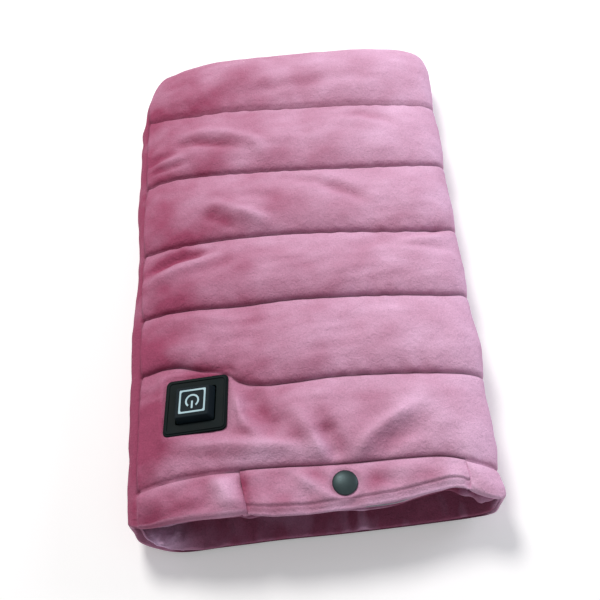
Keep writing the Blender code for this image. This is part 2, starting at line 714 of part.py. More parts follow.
def build_pocket():
    """Taffeta bag round the battery and the facing strip on its inner lip."""
    left, right = POCKET_LEFT + 2 * GAP, POCKET_RIGHT - 2 * GAP
    battery_left = BATTERY_X - BATTERY_WIDTH / 2 - BATTERY_CORNER / 2
    battery_right = BATTERY_X + BATTERY_WIDTH / 2 + BATTERY_CORNER / 2
    shoulders = ((battery_left - left) / (right - left), (battery_right - left) / (right - left))
    mid = LINING_DEPTH - GAP - BAG_EDGE

    def edge(x, y):
        return (x, layer_point(x, y, True, mid)[2])

    def station(y, wall):
        share = float(bulge_share(BATTERY_X, y))
        high_floor = layer_point(BATTERY_X, y, True, LINING_DEPTH - GAP)[2]
        floor = (*shoulders, high_floor + share * (BAG_FLOOR - high_floor))
        return pocket_ring(y, edge(left, y), edge(right, y), floor, ROOF_Z, wall)

    def neck(y, half_x, half_z, wall):
        ends = ((PLUG_X - half_x, PLUG_Z), (PLUG_X + half_x, PLUG_Z))
        return pocket_ring(y, *ends, (*NECK_SHOULDER_SHARES, PLUG_Z - half_z), PLUG_Z + half_z, wall)

    grip_half_x = GRIP_WIDTH / 2 + 4 * BAG_WALL
    grip_half_z = GRIP_HEIGHT / 2 + 2 * BAG_WALL
    exit_half = PLUG_LEAD / 2 + 4 * BAG_WALL
    opening = MOUTH_Y + RAMP_START + GAP
    ramp_end = MOUTH_Y + RAMP_START + RAMP_RUN
    loops = []
    for wall in (0, BAG_WALL):
        stations = [station(y, wall) for y in (opening, ramp_end, BATTERY_END + GAP)]
        stations.append(neck(GRIP_END, grip_half_x, grip_half_z, wall))
        stations.append(neck(RELIEF_END, exit_half, exit_half, wall))
        loops += stations if wall == 0 else stations[::-1]
    add_loops("pocket_bag", loops, TAFFETA, ring=True)

    rows = [MOUTH_Y + LINING_SETBACK, MOUTH_Y + RAMP_START - GAP]
    columns = [left, BULGE_LEFT, SNAP_X, BULGE_RIGHT, right]
    x, y, points, normals = panel_grid(columns, rows, True)
    up = np.array([0, 0, 1])
    top = points - up * (LINING_DEPTH - 2 * GAP - FACING_WALL)
    return add_sheet("pocket_facing", top, top - up * FACING_WALL, TAFFETA)


def build_snap(flap, hinge, lining, facing):
    """Snap: cap and socket on the flap, stud and its rivet on the inner lip."""
    flap_top = SNAP_SEAT_Z
    flap_floor = flap_top - FLAP_WALL
    here = Matrix.Translation((SNAP_X, SNAP_Y, 0))
    on_flap = Matrix.Translation(Vector((SNAP_X, SNAP_Y, 0)) - Vector(hinge))

    cap_floor = flap_top + GAP
    socket_roof = flap_floor - GAP
    dome_shares = ((1.0, 0.0), (0.94, 0.34), (0.74, 0.66), (0.42, 0.9), (0.12, 1.0))
    dome = [circle_loop(SNAP_DIAMETER * wide, cap_floor + SNAP_RIM + SNAP_DOME * high)
            for wide, high in dome_shares]
    add_loops("snap_cap", [circle_loop(SNAP_POST, socket_roof + GAP), circle_loop(SNAP_POST, cap_floor),
                           circle_loop(SNAP_DIAMETER, cap_floor)] + dome,
              SNAP_METAL, parent=flap, place=on_flap)
    socket_floor = socket_roof - SOCKET_HEIGHT
    add_loops("snap_socket", [circle_loop(SOCKET_BORE, socket_roof - SOCKET_ROOF),
                              circle_loop(SOCKET_BORE, socket_floor),
                              circle_loop(SOCKET_DIAMETER, socket_floor),
                              circle_loop(SOCKET_DIAMETER, socket_roof - SOCKET_ROOF),
                              circle_loop(SOCKET_DIAMETER - 2 * SOCKET_ROOF, socket_roof)],
              STEEL, parent=flap, place=on_flap)
    hole = add_loops("cap_hole", [circle_loop(SNAP_POST + 2 * GAP, flap_floor - OVERRUN),
                                  circle_loop(SNAP_POST + 2 * GAP, flap_top + OVERRUN)],
                     PLUSH, parent=flap, place=on_flap)
    cut(flap, hole)

    facing_top = LIP_Z - (LINING_DEPTH - 2 * GAP - FACING_WALL)
    stud_floor = facing_top + GAP
    stud_top = stud_floor + STUD_BASE
    bore = RIVET_POST + 2 * GAP
    add_loops("snap_stud", [circle_loop(bore, stud_top), circle_loop(bore, stud_floor),
                            circle_loop(STUD_DIAMETER, stud_floor), circle_loop(STUD_DIAMETER, stud_top),
                            circle_loop(STUD_NIPPLE, stud_top),
                            circle_loop(STUD_NIPPLE, stud_top + STUD_HEIGHT)],
              STEEL, place=here)
    lining_floor = LIP_Z - LINING_DEPTH - LINING_WALL
    add_loops("snap_rivet", [circle_loop(RIVET_DIAMETER - RIVET_HEAD, lining_floor - GAP - RIVET_HEAD),
                             circle_loop(RIVET_DIAMETER, lining_floor - GAP - RIVET_HEAD / 2),
                             circle_loop(RIVET_DIAMETER, lining_floor - GAP),
                             circle_loop(RIVET_POST, lining_floor - GAP),
                             circle_loop(RIVET_POST, stud_top - GAP)],
              STEEL, place=here)
    for node in (lining, facing):
        hole = add_loops(node.name + "_hole", [circle_loop(bore, lining_floor - OVERRUN),
                                               circle_loop(bore, facing_top + OVERRUN)], TAFFETA, place=here)
        cut(node, hole)


def build_switch():
    """Push switch: bezel with its well, captive key with printed marks, board, tact switch and cover."""
    mount = add_empty("switch_mount", SWITCH_PLACE)
    half_x, half_y = FLANGE_WIDTH / 2, FLANGE_DEPTH / 2
    well_x, well_y = WELL_WIDTH / 2, WELL_DEPTH / 2
    inner_x, inner_y = well_x - WELL_WALL, well_y - WELL_WALL
    window_x, window_y = KEY_WIDTH / 2 + GAP, KEY_DEPTH / 2 + GAP
    window_corner = WELL_CORNER - WELL_WALL / 2
    inner_corner = WELL_CORNER - WELL_WALL / 2

    def flange(inset, z):
        return rounded_loop(half_x - inset, half_y - inset, FLANGE_CORNER - inset, z)

    ridge = FLANGE_WALL + RIM_HEIGHT
    add_loops("switch_bezel", [
        flange(0, 0), flange(0, FLANGE_WALL), flange(RIM_INSET, FLANGE_WALL), flange(RIM_INSET + GAP, ridge),
        flange(RIM_INSET + RIM_WIDTH, ridge), flange(RIM_INSET + RIM_WIDTH + GAP, FLANGE_WALL),
        rounded_loop(window_x, window_y, window_corner, FLANGE_WALL),
        rounded_loop(window_x, window_y, window_corner, 0),
        rounded_loop(inner_x, inner_y, inner_corner, 0),
        rounded_loop(inner_x, inner_y, inner_corner, -WELL_DROP),
        rounded_loop(well_x, well_y, WELL_CORNER, -WELL_DROP),
        rounded_loop(well_x, well_y, WELL_CORNER, 0)], BLACK_ABS, ring=True, parent=mount)

    key_top = FLANGE_WALL + KEY_RISE
    roof = key_top - KEY_WALL
    lip_top = -GAP
    lip_floor = -KEY_LIP_DROP
    hollow_x, hollow_y = KEY_WIDTH / 2 - KEY_WALL, KEY_DEPTH / 2 - KEY_WALL
    top_x, top_y = KEY_TOP_WIDTH / 2, KEY_TOP_DEPTH / 2
    corner = window_corner
    board_top = -WELL_DROP
    stem_floor = board_top + GAP + KEY_TRAVEL
    stem_top = stem_floor + STEM_LENGTH
    plunger_floor = stem_top + GAP
    add_loops("switch_key", [
        circle_loop(STEM_DIAMETER + 4 * GAP, plunger_floor, 4),
        circle_loop(STEM_DIAMETER + 4 * GAP, roof, 4),
        rounded_loop(top_x - KEY_WALL, top_y - KEY_WALL, corner, roof),
        rounded_loop(hollow_x, hollow_y, corner / 2, FLANGE_WALL),
        rounded_loop(hollow_x, hollow_y, corner / 2, lip_floor),
        rounded_loop(KEY_WIDTH / 2 + KEY_LIP, KEY_DEPTH / 2 + KEY_LIP, corner, lip_floor),
        rounded_loop(KEY_WIDTH / 2 + KEY_LIP, KEY_DEPTH / 2 + KEY_LIP, corner, lip_top),
        rounded_loop(KEY_WIDTH / 2, KEY_DEPTH / 2, corner, lip_top),
        rounded_loop(KEY_WIDTH / 2, KEY_DEPTH / 2, corner, FLANGE_WALL + GAP),
        rounded_loop(top_x + GAP, top_y + GAP, corner, key_top - GAP),
        rounded_loop(top_x, top_y, corner, key_top)], BLACK_ABS, parent=mount)

    mark_floor = key_top + ICON_GAP
    mark_top = mark_floor + ICON_WALL
    icon_x, icon_y = ICON_WIDTH / 2, ICON_DEPTH / 2
    add_loops("icon_frame", [
        rounded_loop(icon_x, icon_y, ICON_LINE / 2, mark_floor, 2),
        rounded_loop(icon_x, icon_y, ICON_LINE / 2, mark_top, 2),
        rounded_loop(icon_x - ICON_LINE, icon_y - ICON_LINE, ICON_LINE, mark_top, 2),
        rounded_loop(icon_x - ICON_LINE, icon_y - ICON_LINE, ICON_LINE, mark_floor, 2)],
        CYAN_PRINT, ring=True, parent=mount)
    steps = 16
    start = -math.pi / 2 + ARC_OPENING / 2
    sweep = 2 * math.pi - ARC_OPENING
    loops = []
    for step in range(steps + 1):
        angle = start + sweep * step / steps
        loops.append([(radius * math.cos(angle), radius * math.sin(angle), z)
                      for radius, z in ((ARC_RADIUS - ICON_LINE / 2, mark_floor),
                                        (ARC_RADIUS + ICON_LINE / 2, mark_floor),
                                        (ARC_RADIUS + ICON_LINE / 2, mark_top),
                                        (ARC_RADIUS - ICON_LINE / 2, mark_top))])
    add_loops("icon_arc", loops, CYAN_PRINT, parent=mount)
    add_box("icon_bar", (-ICON_LINE / 2, -BAR_LENGTH, mark_floor), (ICON_LINE / 2, 0, mark_top), CYAN_PRINT,
            parent=mount)

    add_loops("tact_stem", [circle_loop(STEM_DIAMETER, stem_floor), circle_loop(STEM_DIAMETER, stem_top)],
              CYAN_PRINT, parent=mount)
    bore = STEM_DIAMETER + 2 * GAP
    tact_floor = board_top + GAP
    tact_half = TACT_WIDTH / 2
    add_loops("tact_housing", [
        circle_loop(bore, tact_floor), circle_loop(bore, tact_floor + TACT_HEIGHT),
        rounded_loop(tact_half, tact_half, GAP, tact_floor + TACT_HEIGHT, 5),
        rounded_loop(tact_half, tact_half, GAP, tact_floor, 5)], STEEL, ring=True, parent=mount)
    add_loops("indicator_led", [
        rounded_loop(LED_WIDTH / 2, LED_WIDTH / 2, GAP, board_top + GAP, 1),
        rounded_loop(LED_WIDTH / 2, LED_WIDTH / 2, GAP, board_top + GAP + LED_HEIGHT, 1)],
        CYAN_PRINT, parent=mount, place=Matrix.Translation((LED_OFFSET, LED_OFFSET - GAP, 0)))
    board_x, board_y = inner_x - GAP, inner_y - GAP
    add_loops("switch_board", [rounded_loop(board_x, board_y, inner_corner, board_top - BOARD_WALL, 2),
                               rounded_loop(board_x, board_y, inner_corner, board_top, 2)],
              BOARD_GREEN, parent=mount)
    cover_top = -WELL_DROP - GAP
    floor = cover_top - COVER_HEIGHT
    add_loops("switch_cover", [
        rounded_loop(inner_x, inner_y, inner_corner, floor + COVER_FLOOR),
        rounded_loop(inner_x, inner_y, inner_corner, cover_top),
        rounded_loop(well_x, well_y, WELL_CORNER, cover_top),
        rounded_loop(well_x, well_y, WELL_CORNER, floor + GAP),
        rounded_loop(well_x - GAP, well_y - GAP, WELL_CORNER, floor)], BLACK_ABS, parent=mount)


def cover_exit(place):
    """World point just outside the switch cover's far wall, counted in lead spacings from its left."""
    x = -WELL_WIDTH / 2 + LEAD_SPACING * (place + 0.5)
    return SWITCH_PLACE @ Vector((x, WELL_DEPTH / 2 + GAP, -WELL_DROP - GAP - COVER_HEIGHT / 2))


def serpentine(front, start):
    """Heating wire's path: runs along Y joined by half turns, and a return run near the start."""
    reach = HEATER_HALF_WIDTH - WIRE_MARGIN
    pitch = 2 * reach / (WIRE_RUNS - 1)
    low, high = start + WIRE_MARGIN + pitch, HEATER_END - WIRE_MARGIN
    path = []
    for run in range(WIRE_RUNS):
        x = -reach + pitch * run
        path += [(x, low), (x, high)] if run % 2 == 0 else [(x, high), (x, low)]
        if run < WIRE_RUNS - 1:
            side = 1 if run % 2 == 0 else -1
            edge = high if side > 0 else low
            for step in (1, 2, 3):
                angle = math.pi * step / 4
                path.append((x + pitch / 2 * (1 - math.cos(angle)),
                             edge + side * pitch / 2 * math.sin(angle)))
    back = start + WIRE_MARGIN
    path.append((reach - WIRE_MARGIN / 2, back))
    steps = 6
    first, stop = reach - WIRE_MARGIN / 2, -reach + pitch * RETURN_STOP_SHARE
    path += [(first + (stop - first) * step / steps, back) for step in range(1, steps + 1)]
    return path


def build_heater():
    """Heating sheets with their wires, the sensor and the leads to the switch."""
    reach = HEATER_HALF_WIDTH - WIRE_MARGIN
    pitch = 2 * reach / (WIRE_RUNS - 1)
    for name, front, start in (("front", True, FRONT_HEATER_START), ("back", False, BACK_HEATER_START)):
        steps = 8
        columns = [HEATER_HALF_WIDTH * (2 * step / steps - 1) for step in range(steps + 1)]
        x, y = np.meshgrid(np.array(columns), np.array([start, HEATER_END]))
        corners = np.array([[layer_point(float(a), float(b), front, SHEET_DEPTH) for a, b in zip(*line)]
                            for line in zip(x, y)])
        under = np.array([[layer_point(float(a), float(b), front, SHEET_DEPTH + SHEET_WALL)
                           for a, b in zip(*line)] for line in zip(x, y)])
        add_sheet(name + "_heating_sheet", corners, under, SHEET)
        path = [layer_point(a, b, front, WIRE_DEPTH) for a, b in serpentine(front, start)]
        if front:
            for path_end, x_end, place in ((0, -reach, 1), (-1, -reach + pitch * RETURN_STOP_SHARE, 3)):
                stop = cover_exit(place)
                mid = layer_point(x_end, (stop.y + start) / 2, True, WIRE_DEPTH)
                tail = [tuple(stop), mid] if path_end == 0 else [mid, tuple(stop)]
                path = tail + path if path_end == 0 else path + tail
        else:
            splice_end = start - SPLICE_LENGTH
            path = [layer_point(-reach, splice_end + GAP, False, WIRE_DEPTH)] + path
            path.append(layer_point(-reach + pitch * RETURN_STOP_SHARE, splice_end + GAP, False, WIRE_DEPTH))
        add_tube(name + "_heating_wire", path, WIRE_DIAMETER, WIRE)
    return reach, pitch


def add_sensor_and_leads(reach, pitch):
    """Temperature sensor among the front wires, its lead, the back heater's lead and its splice."""
    sensor_x = -reach + pitch * SENSOR_SHARE
    sensor_y = FRONT_HEATER_START + WIRE_MARGIN + pitch
    x, y, z = layer_point(sensor_x, sensor_y, True, WIRE_DEPTH)
    half = WIRE_DIAMETER / 2
    add_box("temperature_sensor", (x - SENSOR_WIDTH / 2, y, z - half),
            (x + SENSOR_WIDTH / 2, y + SENSOR_LENGTH, z + half), BLACK_ABS)
    stop = cover_exit(2)
    mid = layer_point(sensor_x, (stop.y + y) / 2, True, WIRE_DEPTH)
    add_tube("sensor_lead", [tuple(stop), mid, (x, y - GAP, z)], SENSOR_LEAD, WIRE)

    splice_x = -reach + pitch * SPLICE_SHARE
    splice_y = BACK_HEATER_START - SPLICE_LENGTH
    x, y, z = layer_point(splice_x, splice_y, False, WIRE_DEPTH)
    place = Matrix.Translation((x, y, z))
    section = []
    for side, up in ((-1, -1), (1, -1), (1, 1), (-1, 1)):
        offset = side * SPLICE_WIDTH / 2
        rise = layer_point(splice_x + offset, y, False, WIRE_DEPTH)[2] - z
        section.append((offset, rise + up * half))
    loops = [[(offset, along, height) for offset, height in section] for along in (0, -SPLICE_LENGTH)]
    add_loops("back_wire_splice", loops, BLACK_ABS, place=place, smooth=False)

    depth = BACK_LEAD_DEPTH
    start = cover_exit(0)
    lead_y = start.y + 2 * BACK_LEAD
    end_y = splice_y - SPLICE_LENGTH - 2 * BACK_LEAD
    route = [tuple(start)]
    route += [layer_point(-BASE_HALF * share, lead_y, True, depth) for share in LEAD_FRONT_SHARES]
    route.append((-BASE_HALF + depth, lead_y, FOLD_Z))
    route += [layer_point(-BASE_HALF * share, end_y, False, depth) for share in LEAD_BACK_SHARES]
    route += [(x, end_y, z), (x, splice_y - SPLICE_LENGTH - GAP, z)]
    add_tube("back_heater_lead", route, BACK_LEAD, WIRE)


def build_battery():
    """Battery pack, the plug in its socket and the plug's lead to the switch."""
    half_x, half_y = BATTERY_WIDTH / 2, BATTERY_LENGTH / 2
    middle_y = (BATTERY_START + BATTERY_END) / 2
    mount = add_empty("battery_mount", Matrix.Translation((BATTERY_X, middle_y, BATTERY_Z)))
    half_z = BATTERY_HEIGHT / 2
    inner_x, inner_y, inner_z = half_x - CASE_WALL, half_y - CASE_WALL, half_z - CASE_WALL
    corner, inner_corner = BATTERY_CORNER, BATTERY_CORNER - CASE_WALL
    halves = []
    for name, side in (("battery_case_top", 1), ("battery_case_bottom", -1)):
        halves.append(add_loops(name, [
            rounded_loop(inner_x, inner_y, inner_corner, side * inner_z),
            rounded_loop(inner_x, inner_y, inner_corner, side * GAP / 2),
            rounded_loop(half_x, half_y, corner, side * GAP / 2),
            rounded_loop(half_x, half_y, corner, side * (half_z - CASE_WALL)),
            rounded_loop(half_x - CASE_WALL, half_y - CASE_WALL, inner_corner, side * half_z)],
            BATTERY_WHITE, parent=mount))

    board_right = BOARD_LEFT + BATTERY_BOARD_WIDTH
    board_floor = -inner_z + GAP
    board_top = board_floor + BOARD_WALL
    socket_half = PLUG_SHELL_WIDTH / 2 + SOCKET_CLEARANCE + METAL_WALL
    socket_height = PLUG_SOCKET_HEIGHT
    socket_depth = PLUG_SHELL_LENGTH + METAL_WALL + GAP
    socket_z = PLUG_RISE
    port_x = PORT_OFFSET
    add_loops("battery_board", [rounded_loop(BATTERY_BOARD_WIDTH / 2, inner_y - GAP, inner_corner, z, 3)
                                for z in (board_floor, board_top)],
              BOARD_GREEN, parent=mount, place=Matrix.Translation((port_x, 0, 0)))
    cell_left = board_right + GAP
    add_loops("battery_cell", [
        rounded_loop(CELL_WIDTH / 2, CELL_LENGTH / 2, CELL_CORNER, side * (inner_z - GAP), 2)
        for side in (-1, 1)],
        FOIL, parent=mount, place=Matrix.Translation((cell_left + CELL_WIDTH / 2, 0, 0)))
    face_y = half_y

    def along_y(width, height, y, shift=0):
        half_w, half_h = width / 2, height / 2
        return [(-half_w, y, -half_h + shift), (half_w, y, -half_h + shift), (half_w, y, half_h + shift),
                (-half_w, y, half_h + shift)]

    def tunnel(name, width, height, wall, closed, mouth, look, place):
        floor_y = closed + math.copysign(wall, mouth - closed)
        hollow = (width - 2 * wall, height - 2 * wall)
        add_loops(name, [along_y(*hollow, floor_y), along_y(*hollow, mouth), along_y(width, height, mouth),
                         along_y(width, height, closed)], look, parent=mount, place=place, smooth=False)

    plug_place = Matrix.Translation((port_x, 0, socket_z))
    tunnel("battery_usb_socket", 2 * socket_half, socket_height, METAL_WALL, face_y - socket_depth, face_y,
           STEEL, plug_place)
    shell_start = face_y - PLUG_SHELL_LENGTH
    shell_end = face_y + GAP / 2
    tunnel("plug_shell", PLUG_SHELL_WIDTH, PLUG_SHELL_HEIGHT, METAL_WALL, shell_end, shell_start,
           STEEL, plug_place)
    tongue_width = PLUG_SHELL_WIDTH - 2 * METAL_WALL - 2 * GAP
    tongue_z = PLUG_SHELL_HEIGHT / 2 - METAL_WALL - GAP - TONGUE_HEIGHT / 2
    add_loops("plug_tongue", [along_y(tongue_width, TONGUE_HEIGHT, y, tongue_z)
                              for y in (shell_start + GAP, shell_end - METAL_WALL - GAP)],
              BATTERY_WHITE, parent=mount, place=plug_place, smooth=False)
    grip_start = shell_end + GAP
    grip_end = grip_start + GRIP_LENGTH
    relief_end = grip_end + RELIEF_LENGTH
    bevel = GRIP_HEIGHT / 8

    def section(width, height, radius, y):
        return [(a, y, b) for a, b, _ in rounded_loop(width / 2, height / 2, radius, 0, 3)]

    add_loops("plug_grip", [
        section(GRIP_WIDTH - bevel, GRIP_HEIGHT - bevel, bevel, grip_start),
        section(GRIP_WIDTH, GRIP_HEIGHT, bevel * 2, grip_start + bevel),
        section(GRIP_WIDTH, GRIP_HEIGHT, bevel * 2, grip_end - bevel),
        section(GRIP_WIDTH - bevel * 2, GRIP_HEIGHT - bevel * 2, bevel, grip_end),
        *[section(PLUG_LEAD * share, PLUG_LEAD * share, PLUG_LEAD * share / 2, y)
          for share, y in zip(RELIEF_SHARES, (grip_end, relief_end))]],
        BLACK_ABS, parent=mount, place=plug_place)

    port_z = board_top + GAP + PORT_HEIGHT / 2
    port_place = Matrix.Translation((port_x, 0, port_z))
    tunnel("charging_port", PORT_WIDTH, PORT_HEIGHT, METAL_WALL, -face_y + PORT_LENGTH, -face_y,
           STEEL, port_place)
    button_x = board_right + BUTTON_SPACING + BUTTON_WIDTH / 2
    button_origin = Vector((BATTERY_X + button_x, middle_y - half_y, BATTERY_Z))
    proud = BUTTON_TRAVEL + GAP
    add_loops("battery_button", [
        along_y(BUTTON_WIDTH - 2 * GAP, BUTTON_HEIGHT - 2 * GAP, -proud),
        along_y(BUTTON_WIDTH, BUTTON_HEIGHT, GAP - proud),
        along_y(BUTTON_WIDTH, BUTTON_HEIGHT, BUTTON_SHANK)],
        BLACK_ABS, place=Matrix.Translation(button_origin), smooth=False)
    lights_x = button_x + BUTTON_WIDTH / 2 + LIGHTS_SPACING + LIGHTS_WIDTH / 2
    lights_place = Matrix.Translation((lights_x, 0, 0))
    add_loops("battery_lights", [along_y(LIGHTS_WIDTH, LIGHTS_HEIGHT, y)
                                 for y in (-face_y, -face_y + LIGHTS_DEPTH)],
              CYAN_PRINT, parent=mount, place=lights_place, smooth=False)

    openings = (("usb_opening", port_x, socket_z, 2 * socket_half, socket_height, face_y),
                ("port_opening", port_x, port_z, PORT_WIDTH, PORT_HEIGHT, -face_y),
                ("button_opening", button_x, 0, BUTTON_WIDTH, BUTTON_HEIGHT, -face_y),
                ("lights_opening", lights_x, 0, LIGHTS_WIDTH, LIGHTS_HEIGHT, -face_y))
    for name, x, z, width, height, y in openings:
        cutter = add_box(name, (x - width / 2 - GAP, y - 2 * CASE_WALL, z - height / 2 - GAP),
                         (x + width / 2 + GAP, y + 2 * CASE_WALL, z + height / 2 + GAP), STEEL, parent=mount)
        cut(halves[0], cutter)
        cut(halves[1], cutter)

    return (PLUG_X, middle_y + relief_end + GAP, PLUG_Z)


def add_plug_lead(start):
    """Lead from the plug's strain relief, round to the switch cover."""
    stop = cover_exit(WELL_WIDTH / LEAD_SPACING - 2)
    x, y, z = start
    turn = LEAD_TURN
    depth = (WADDING_BASE + LINING_DEPTH) / 2
    route = [start, (x, y + turn * PLUG_EXIT_SHARE, z)]
    for along, across, share in LEAD_ROUTE_SHARES:
        spot_x = x + (stop.x - x) * across
        spot_y = y + turn * along if along > 0 else y + (stop.y - y) * -along
        high = layer_point(spot_x, spot_y, True, depth)[2]
        route.append((spot_x, spot_y, z + (high - z) * share))
    route.append(tuple(stop))
    add_tube("plug_lead", smooth_route(route, 3), PLUG_LEAD, BLACK_ABS)


def main():
    """Build every sub-assembly in turn."""
    for old in list(bpy.data.objects):
        bpy.data.objects.remove(old, do_unlink=True)
    flap, hinge = build_front()
    build_back()
    lining = build_linings()
    facing = build_pocket()
    build_snap(flap, hinge, lining, facing)
    build_switch()
    reach, pitch = build_heater()
    add_sensor_and_leads(reach, pitch)
    add_plug_lead(build_battery())


main()
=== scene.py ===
"""Dressed scene of a rechargeable hand warmer: a quilted plush pouch with a switch, a snap and a battery.

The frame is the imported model. X runs across the pouch, Y from its open mouth to its closed end and Z up,
in metres, so every piece here is worked out where it lies and its object stays at the origin.
"""
from __future__ import annotations

import json
import logging
import math
from dataclasses import dataclass, field
from enum import Enum

import bmesh
import bpy
import numpy as np
from bpy.types import ID, Material, Node, NodeSocket, NodeTree, Object
from mathutils import Matrix, Vector

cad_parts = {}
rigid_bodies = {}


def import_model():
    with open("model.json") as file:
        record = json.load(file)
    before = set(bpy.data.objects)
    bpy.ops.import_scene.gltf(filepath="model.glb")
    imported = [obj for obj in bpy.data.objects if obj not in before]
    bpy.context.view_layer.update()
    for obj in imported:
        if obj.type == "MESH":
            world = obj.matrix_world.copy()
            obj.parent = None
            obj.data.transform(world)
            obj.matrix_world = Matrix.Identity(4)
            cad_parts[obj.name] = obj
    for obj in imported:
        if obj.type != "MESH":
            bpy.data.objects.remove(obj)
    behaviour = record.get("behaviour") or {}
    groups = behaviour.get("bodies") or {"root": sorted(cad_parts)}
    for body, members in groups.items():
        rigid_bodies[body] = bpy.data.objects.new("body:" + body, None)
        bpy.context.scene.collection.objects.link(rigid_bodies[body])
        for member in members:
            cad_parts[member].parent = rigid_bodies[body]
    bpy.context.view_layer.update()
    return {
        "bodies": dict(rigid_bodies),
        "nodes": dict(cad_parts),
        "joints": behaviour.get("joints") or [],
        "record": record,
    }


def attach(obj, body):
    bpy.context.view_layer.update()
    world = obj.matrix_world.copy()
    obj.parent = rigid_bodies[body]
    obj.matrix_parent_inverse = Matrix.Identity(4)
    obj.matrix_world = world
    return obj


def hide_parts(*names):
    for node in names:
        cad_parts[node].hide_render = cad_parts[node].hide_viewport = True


MM = 0.001
MERGE_DISTANCE = 0.005 * MM
FRONT_LEVEL = 24 * MM
LOG = logging.getLogger("hand_warmer")

Grid = np.ndarray
Pair = tuple[float, float]
Triple = tuple[float, float, float]
Picks = tuple[Pair, ...]
Profile = tuple[tuple[float, float, float, float], ...]


# Small tools for meshes and materials

def linear(hex_colour: str) -> tuple[float, float, float, float]:
    """Turn an sRGB hex value into a linear colour.

    Args:
        hex_colour: The colour as "#RRGGBB".

    Returns:
        Linear red, green and blue, with an alpha of one.
    """
    channels = [int(hex_colour[at:at + 2], 16) / 255 for at in (1, 3, 5)]
    red, green, blue = [c / 12.92 if c <= 0.04045 else ((c + 0.055) / 1.055) ** 2.4 for c in channels]
    return red, green, blue, 1.0


def set_inputs(tree: NodeTree, node: Node, inputs: dict) -> None:
    """Give a node's inputs their values: an output is linked, and a hex colour is turned to linear."""
    for name, value in inputs.items():
        if isinstance(value, NodeSocket):
            tree.links.new(value, node.inputs[name])
        else:
            node.inputs[name].default_value = linear(value) if isinstance(value, str) else value


def add_node(tree: NodeTree, kind: str, output: str | int, inputs: dict,
             **settings: str | bool) -> NodeSocket:
    """Add a shader node with its settings and links.

    Args:
        tree: Node tree that gets the node.
        kind: Blender's name for the type of node, without "ShaderNode".
        output: Name or place of the output that is wanted.
        inputs: Input names or places, each with a value, a hex colour or an output to link.
        settings: Properties of the node.

    Returns:
        The wanted output of the new node.
    """
    node = tree.nodes.new(f"ShaderNode{kind}")
    for name, value in settings.items():
        setattr(node, name, value)
    set_inputs(tree, node, inputs)
    return node.outputs[output]


def add_object(name: str, data: ID) -> Object:
    """Make an object of its data, at the origin, and link it to the scene."""
    made = bpy.data.objects.new(name, data)
    bpy.context.scene.collection.objects.link(made)
    return made


def add_piece(name: str, grid: Grid, material: Material, ring: bool = True,
              ring_rows: bool = False, attributes: dict[str, Grid] | None = None) -> Object:
    """Make a closed smooth piece from a grid of points and merge its seams and poles.

    Args:
        name: Name of the piece.
        grid: Points, rows by columns by three.
        material: Finish of the piece.
        ring: Whether the last column meets the first.
        ring_rows: Whether the last row meets the first.
        attributes: Values at the points, by name, for the material to read.

    Returns:
        The piece's object, at the origin.
    """
    faces = grid_faces(*grid.shape[:2], ring, ring_rows)
    mesh = bpy.data.meshes.new(name)
    mesh.vertices.add(grid.size // 3)
    mesh.vertices.foreach_set("co", np.ascontiguousarray(grid, dtype=np.float32).ravel())
    mesh.loops.add(faces.size)
    mesh.loops.foreach_set("vertex_index", np.ascontiguousarray(faces, dtype=np.int32).ravel())
    mesh.polygons.add(len(faces))
    mesh.polygons.foreach_set("loop_start", np.arange(0, faces.size, 4, dtype=np.int32))
    for label, values in (attributes or {}).items():
        layer = mesh.attributes.new(label, "FLOAT", "POINT")
        layer.data.foreach_set("value", np.ascontiguousarray(values, dtype=np.float32).ravel())
    mesh.update(calc_edges=True)
    shape = bmesh.new()
    shape.from_mesh(mesh)
    bmesh.ops.remove_doubles(shape, verts=shape.verts, dist=MERGE_DISTANCE)
    bmesh.ops.dissolve_degenerate(shape, edges=shape.edges, dist=MERGE_DISTANCE / 5)
    shape.to_mesh(mesh)
    shape.free()
    mesh.shade_smooth()
    mesh.materials.append(material)
    return add_object(name, mesh)


def grid_faces(rows: int, columns: int, ring: bool, ring_rows: bool = False) -> Grid:
    """Corner numbers of a grid's faces, wound so that a grid of X by Y faces +Z.

    Args:
        rows: Number of rows.
        columns: Number of points in a row.
        ring: Whether the last column meets the first.
        ring_rows: Whether the last row meets the first.

    Returns:
        Four corner numbers for each face.
    """
    numbers = np.arange(rows * columns).reshape(rows, columns)
    if ring:
        numbers = np.concatenate([numbers, numbers[:, :1]], axis=1)
    if ring_rows:
        numbers = np.concatenate([numbers, numbers[:1]], axis=0)
    corners = (numbers[:-1, :-1], numbers[:-1, 1:], numbers[1:, 1:], numbers[1:, :-1])
    return np.stack(corners, axis=-1).reshape(-1, 4)


def ring_normals(points: Grid) -> Grid:
    """Unit normals of a grid whose columns close a ring: the cross of its column and row directions.

    Args:
        points: Grid of points, rows by columns by three.

    Returns:
        Grid of unit normals.
    """
    across = np.roll(points, -1, axis=1) - np.roll(points, 1, axis=1)
    along = np.gradient(points, axis=0)
    normals = np.cross(across, along)
    return normals / np.maximum(np.linalg.norm(normals, axis=-1, keepdims=True), 1e-12)


def zipped(rows: Grid) -> Grid:
    """Rows of a ring whose last row has its two sides met half way, so that the end closes."""
    sides = np.arange(rows.shape[1])
    last = (rows[-1:] + rows[-1:, -sides]) / 2
    return np.concatenate([rows[:-1], last])


def capped(loop: Grid) -> Grid:
    """A grid with one more column at each side, drawn together to a point, so that its ends close."""
    left, right = (end.mean(axis=0, keepdims=True) + 0 * end for end in (loop[:, :1], loop[:, -1:]))
    return np.concatenate([left, loop, right], axis=1)


def bell(offset: Grid, reach: float) -> Grid:
    """Bell of height 1 about a zero offset: e to the power of minus the square of offset over reach."""
    return np.exp(-(offset / reach) ** 2)


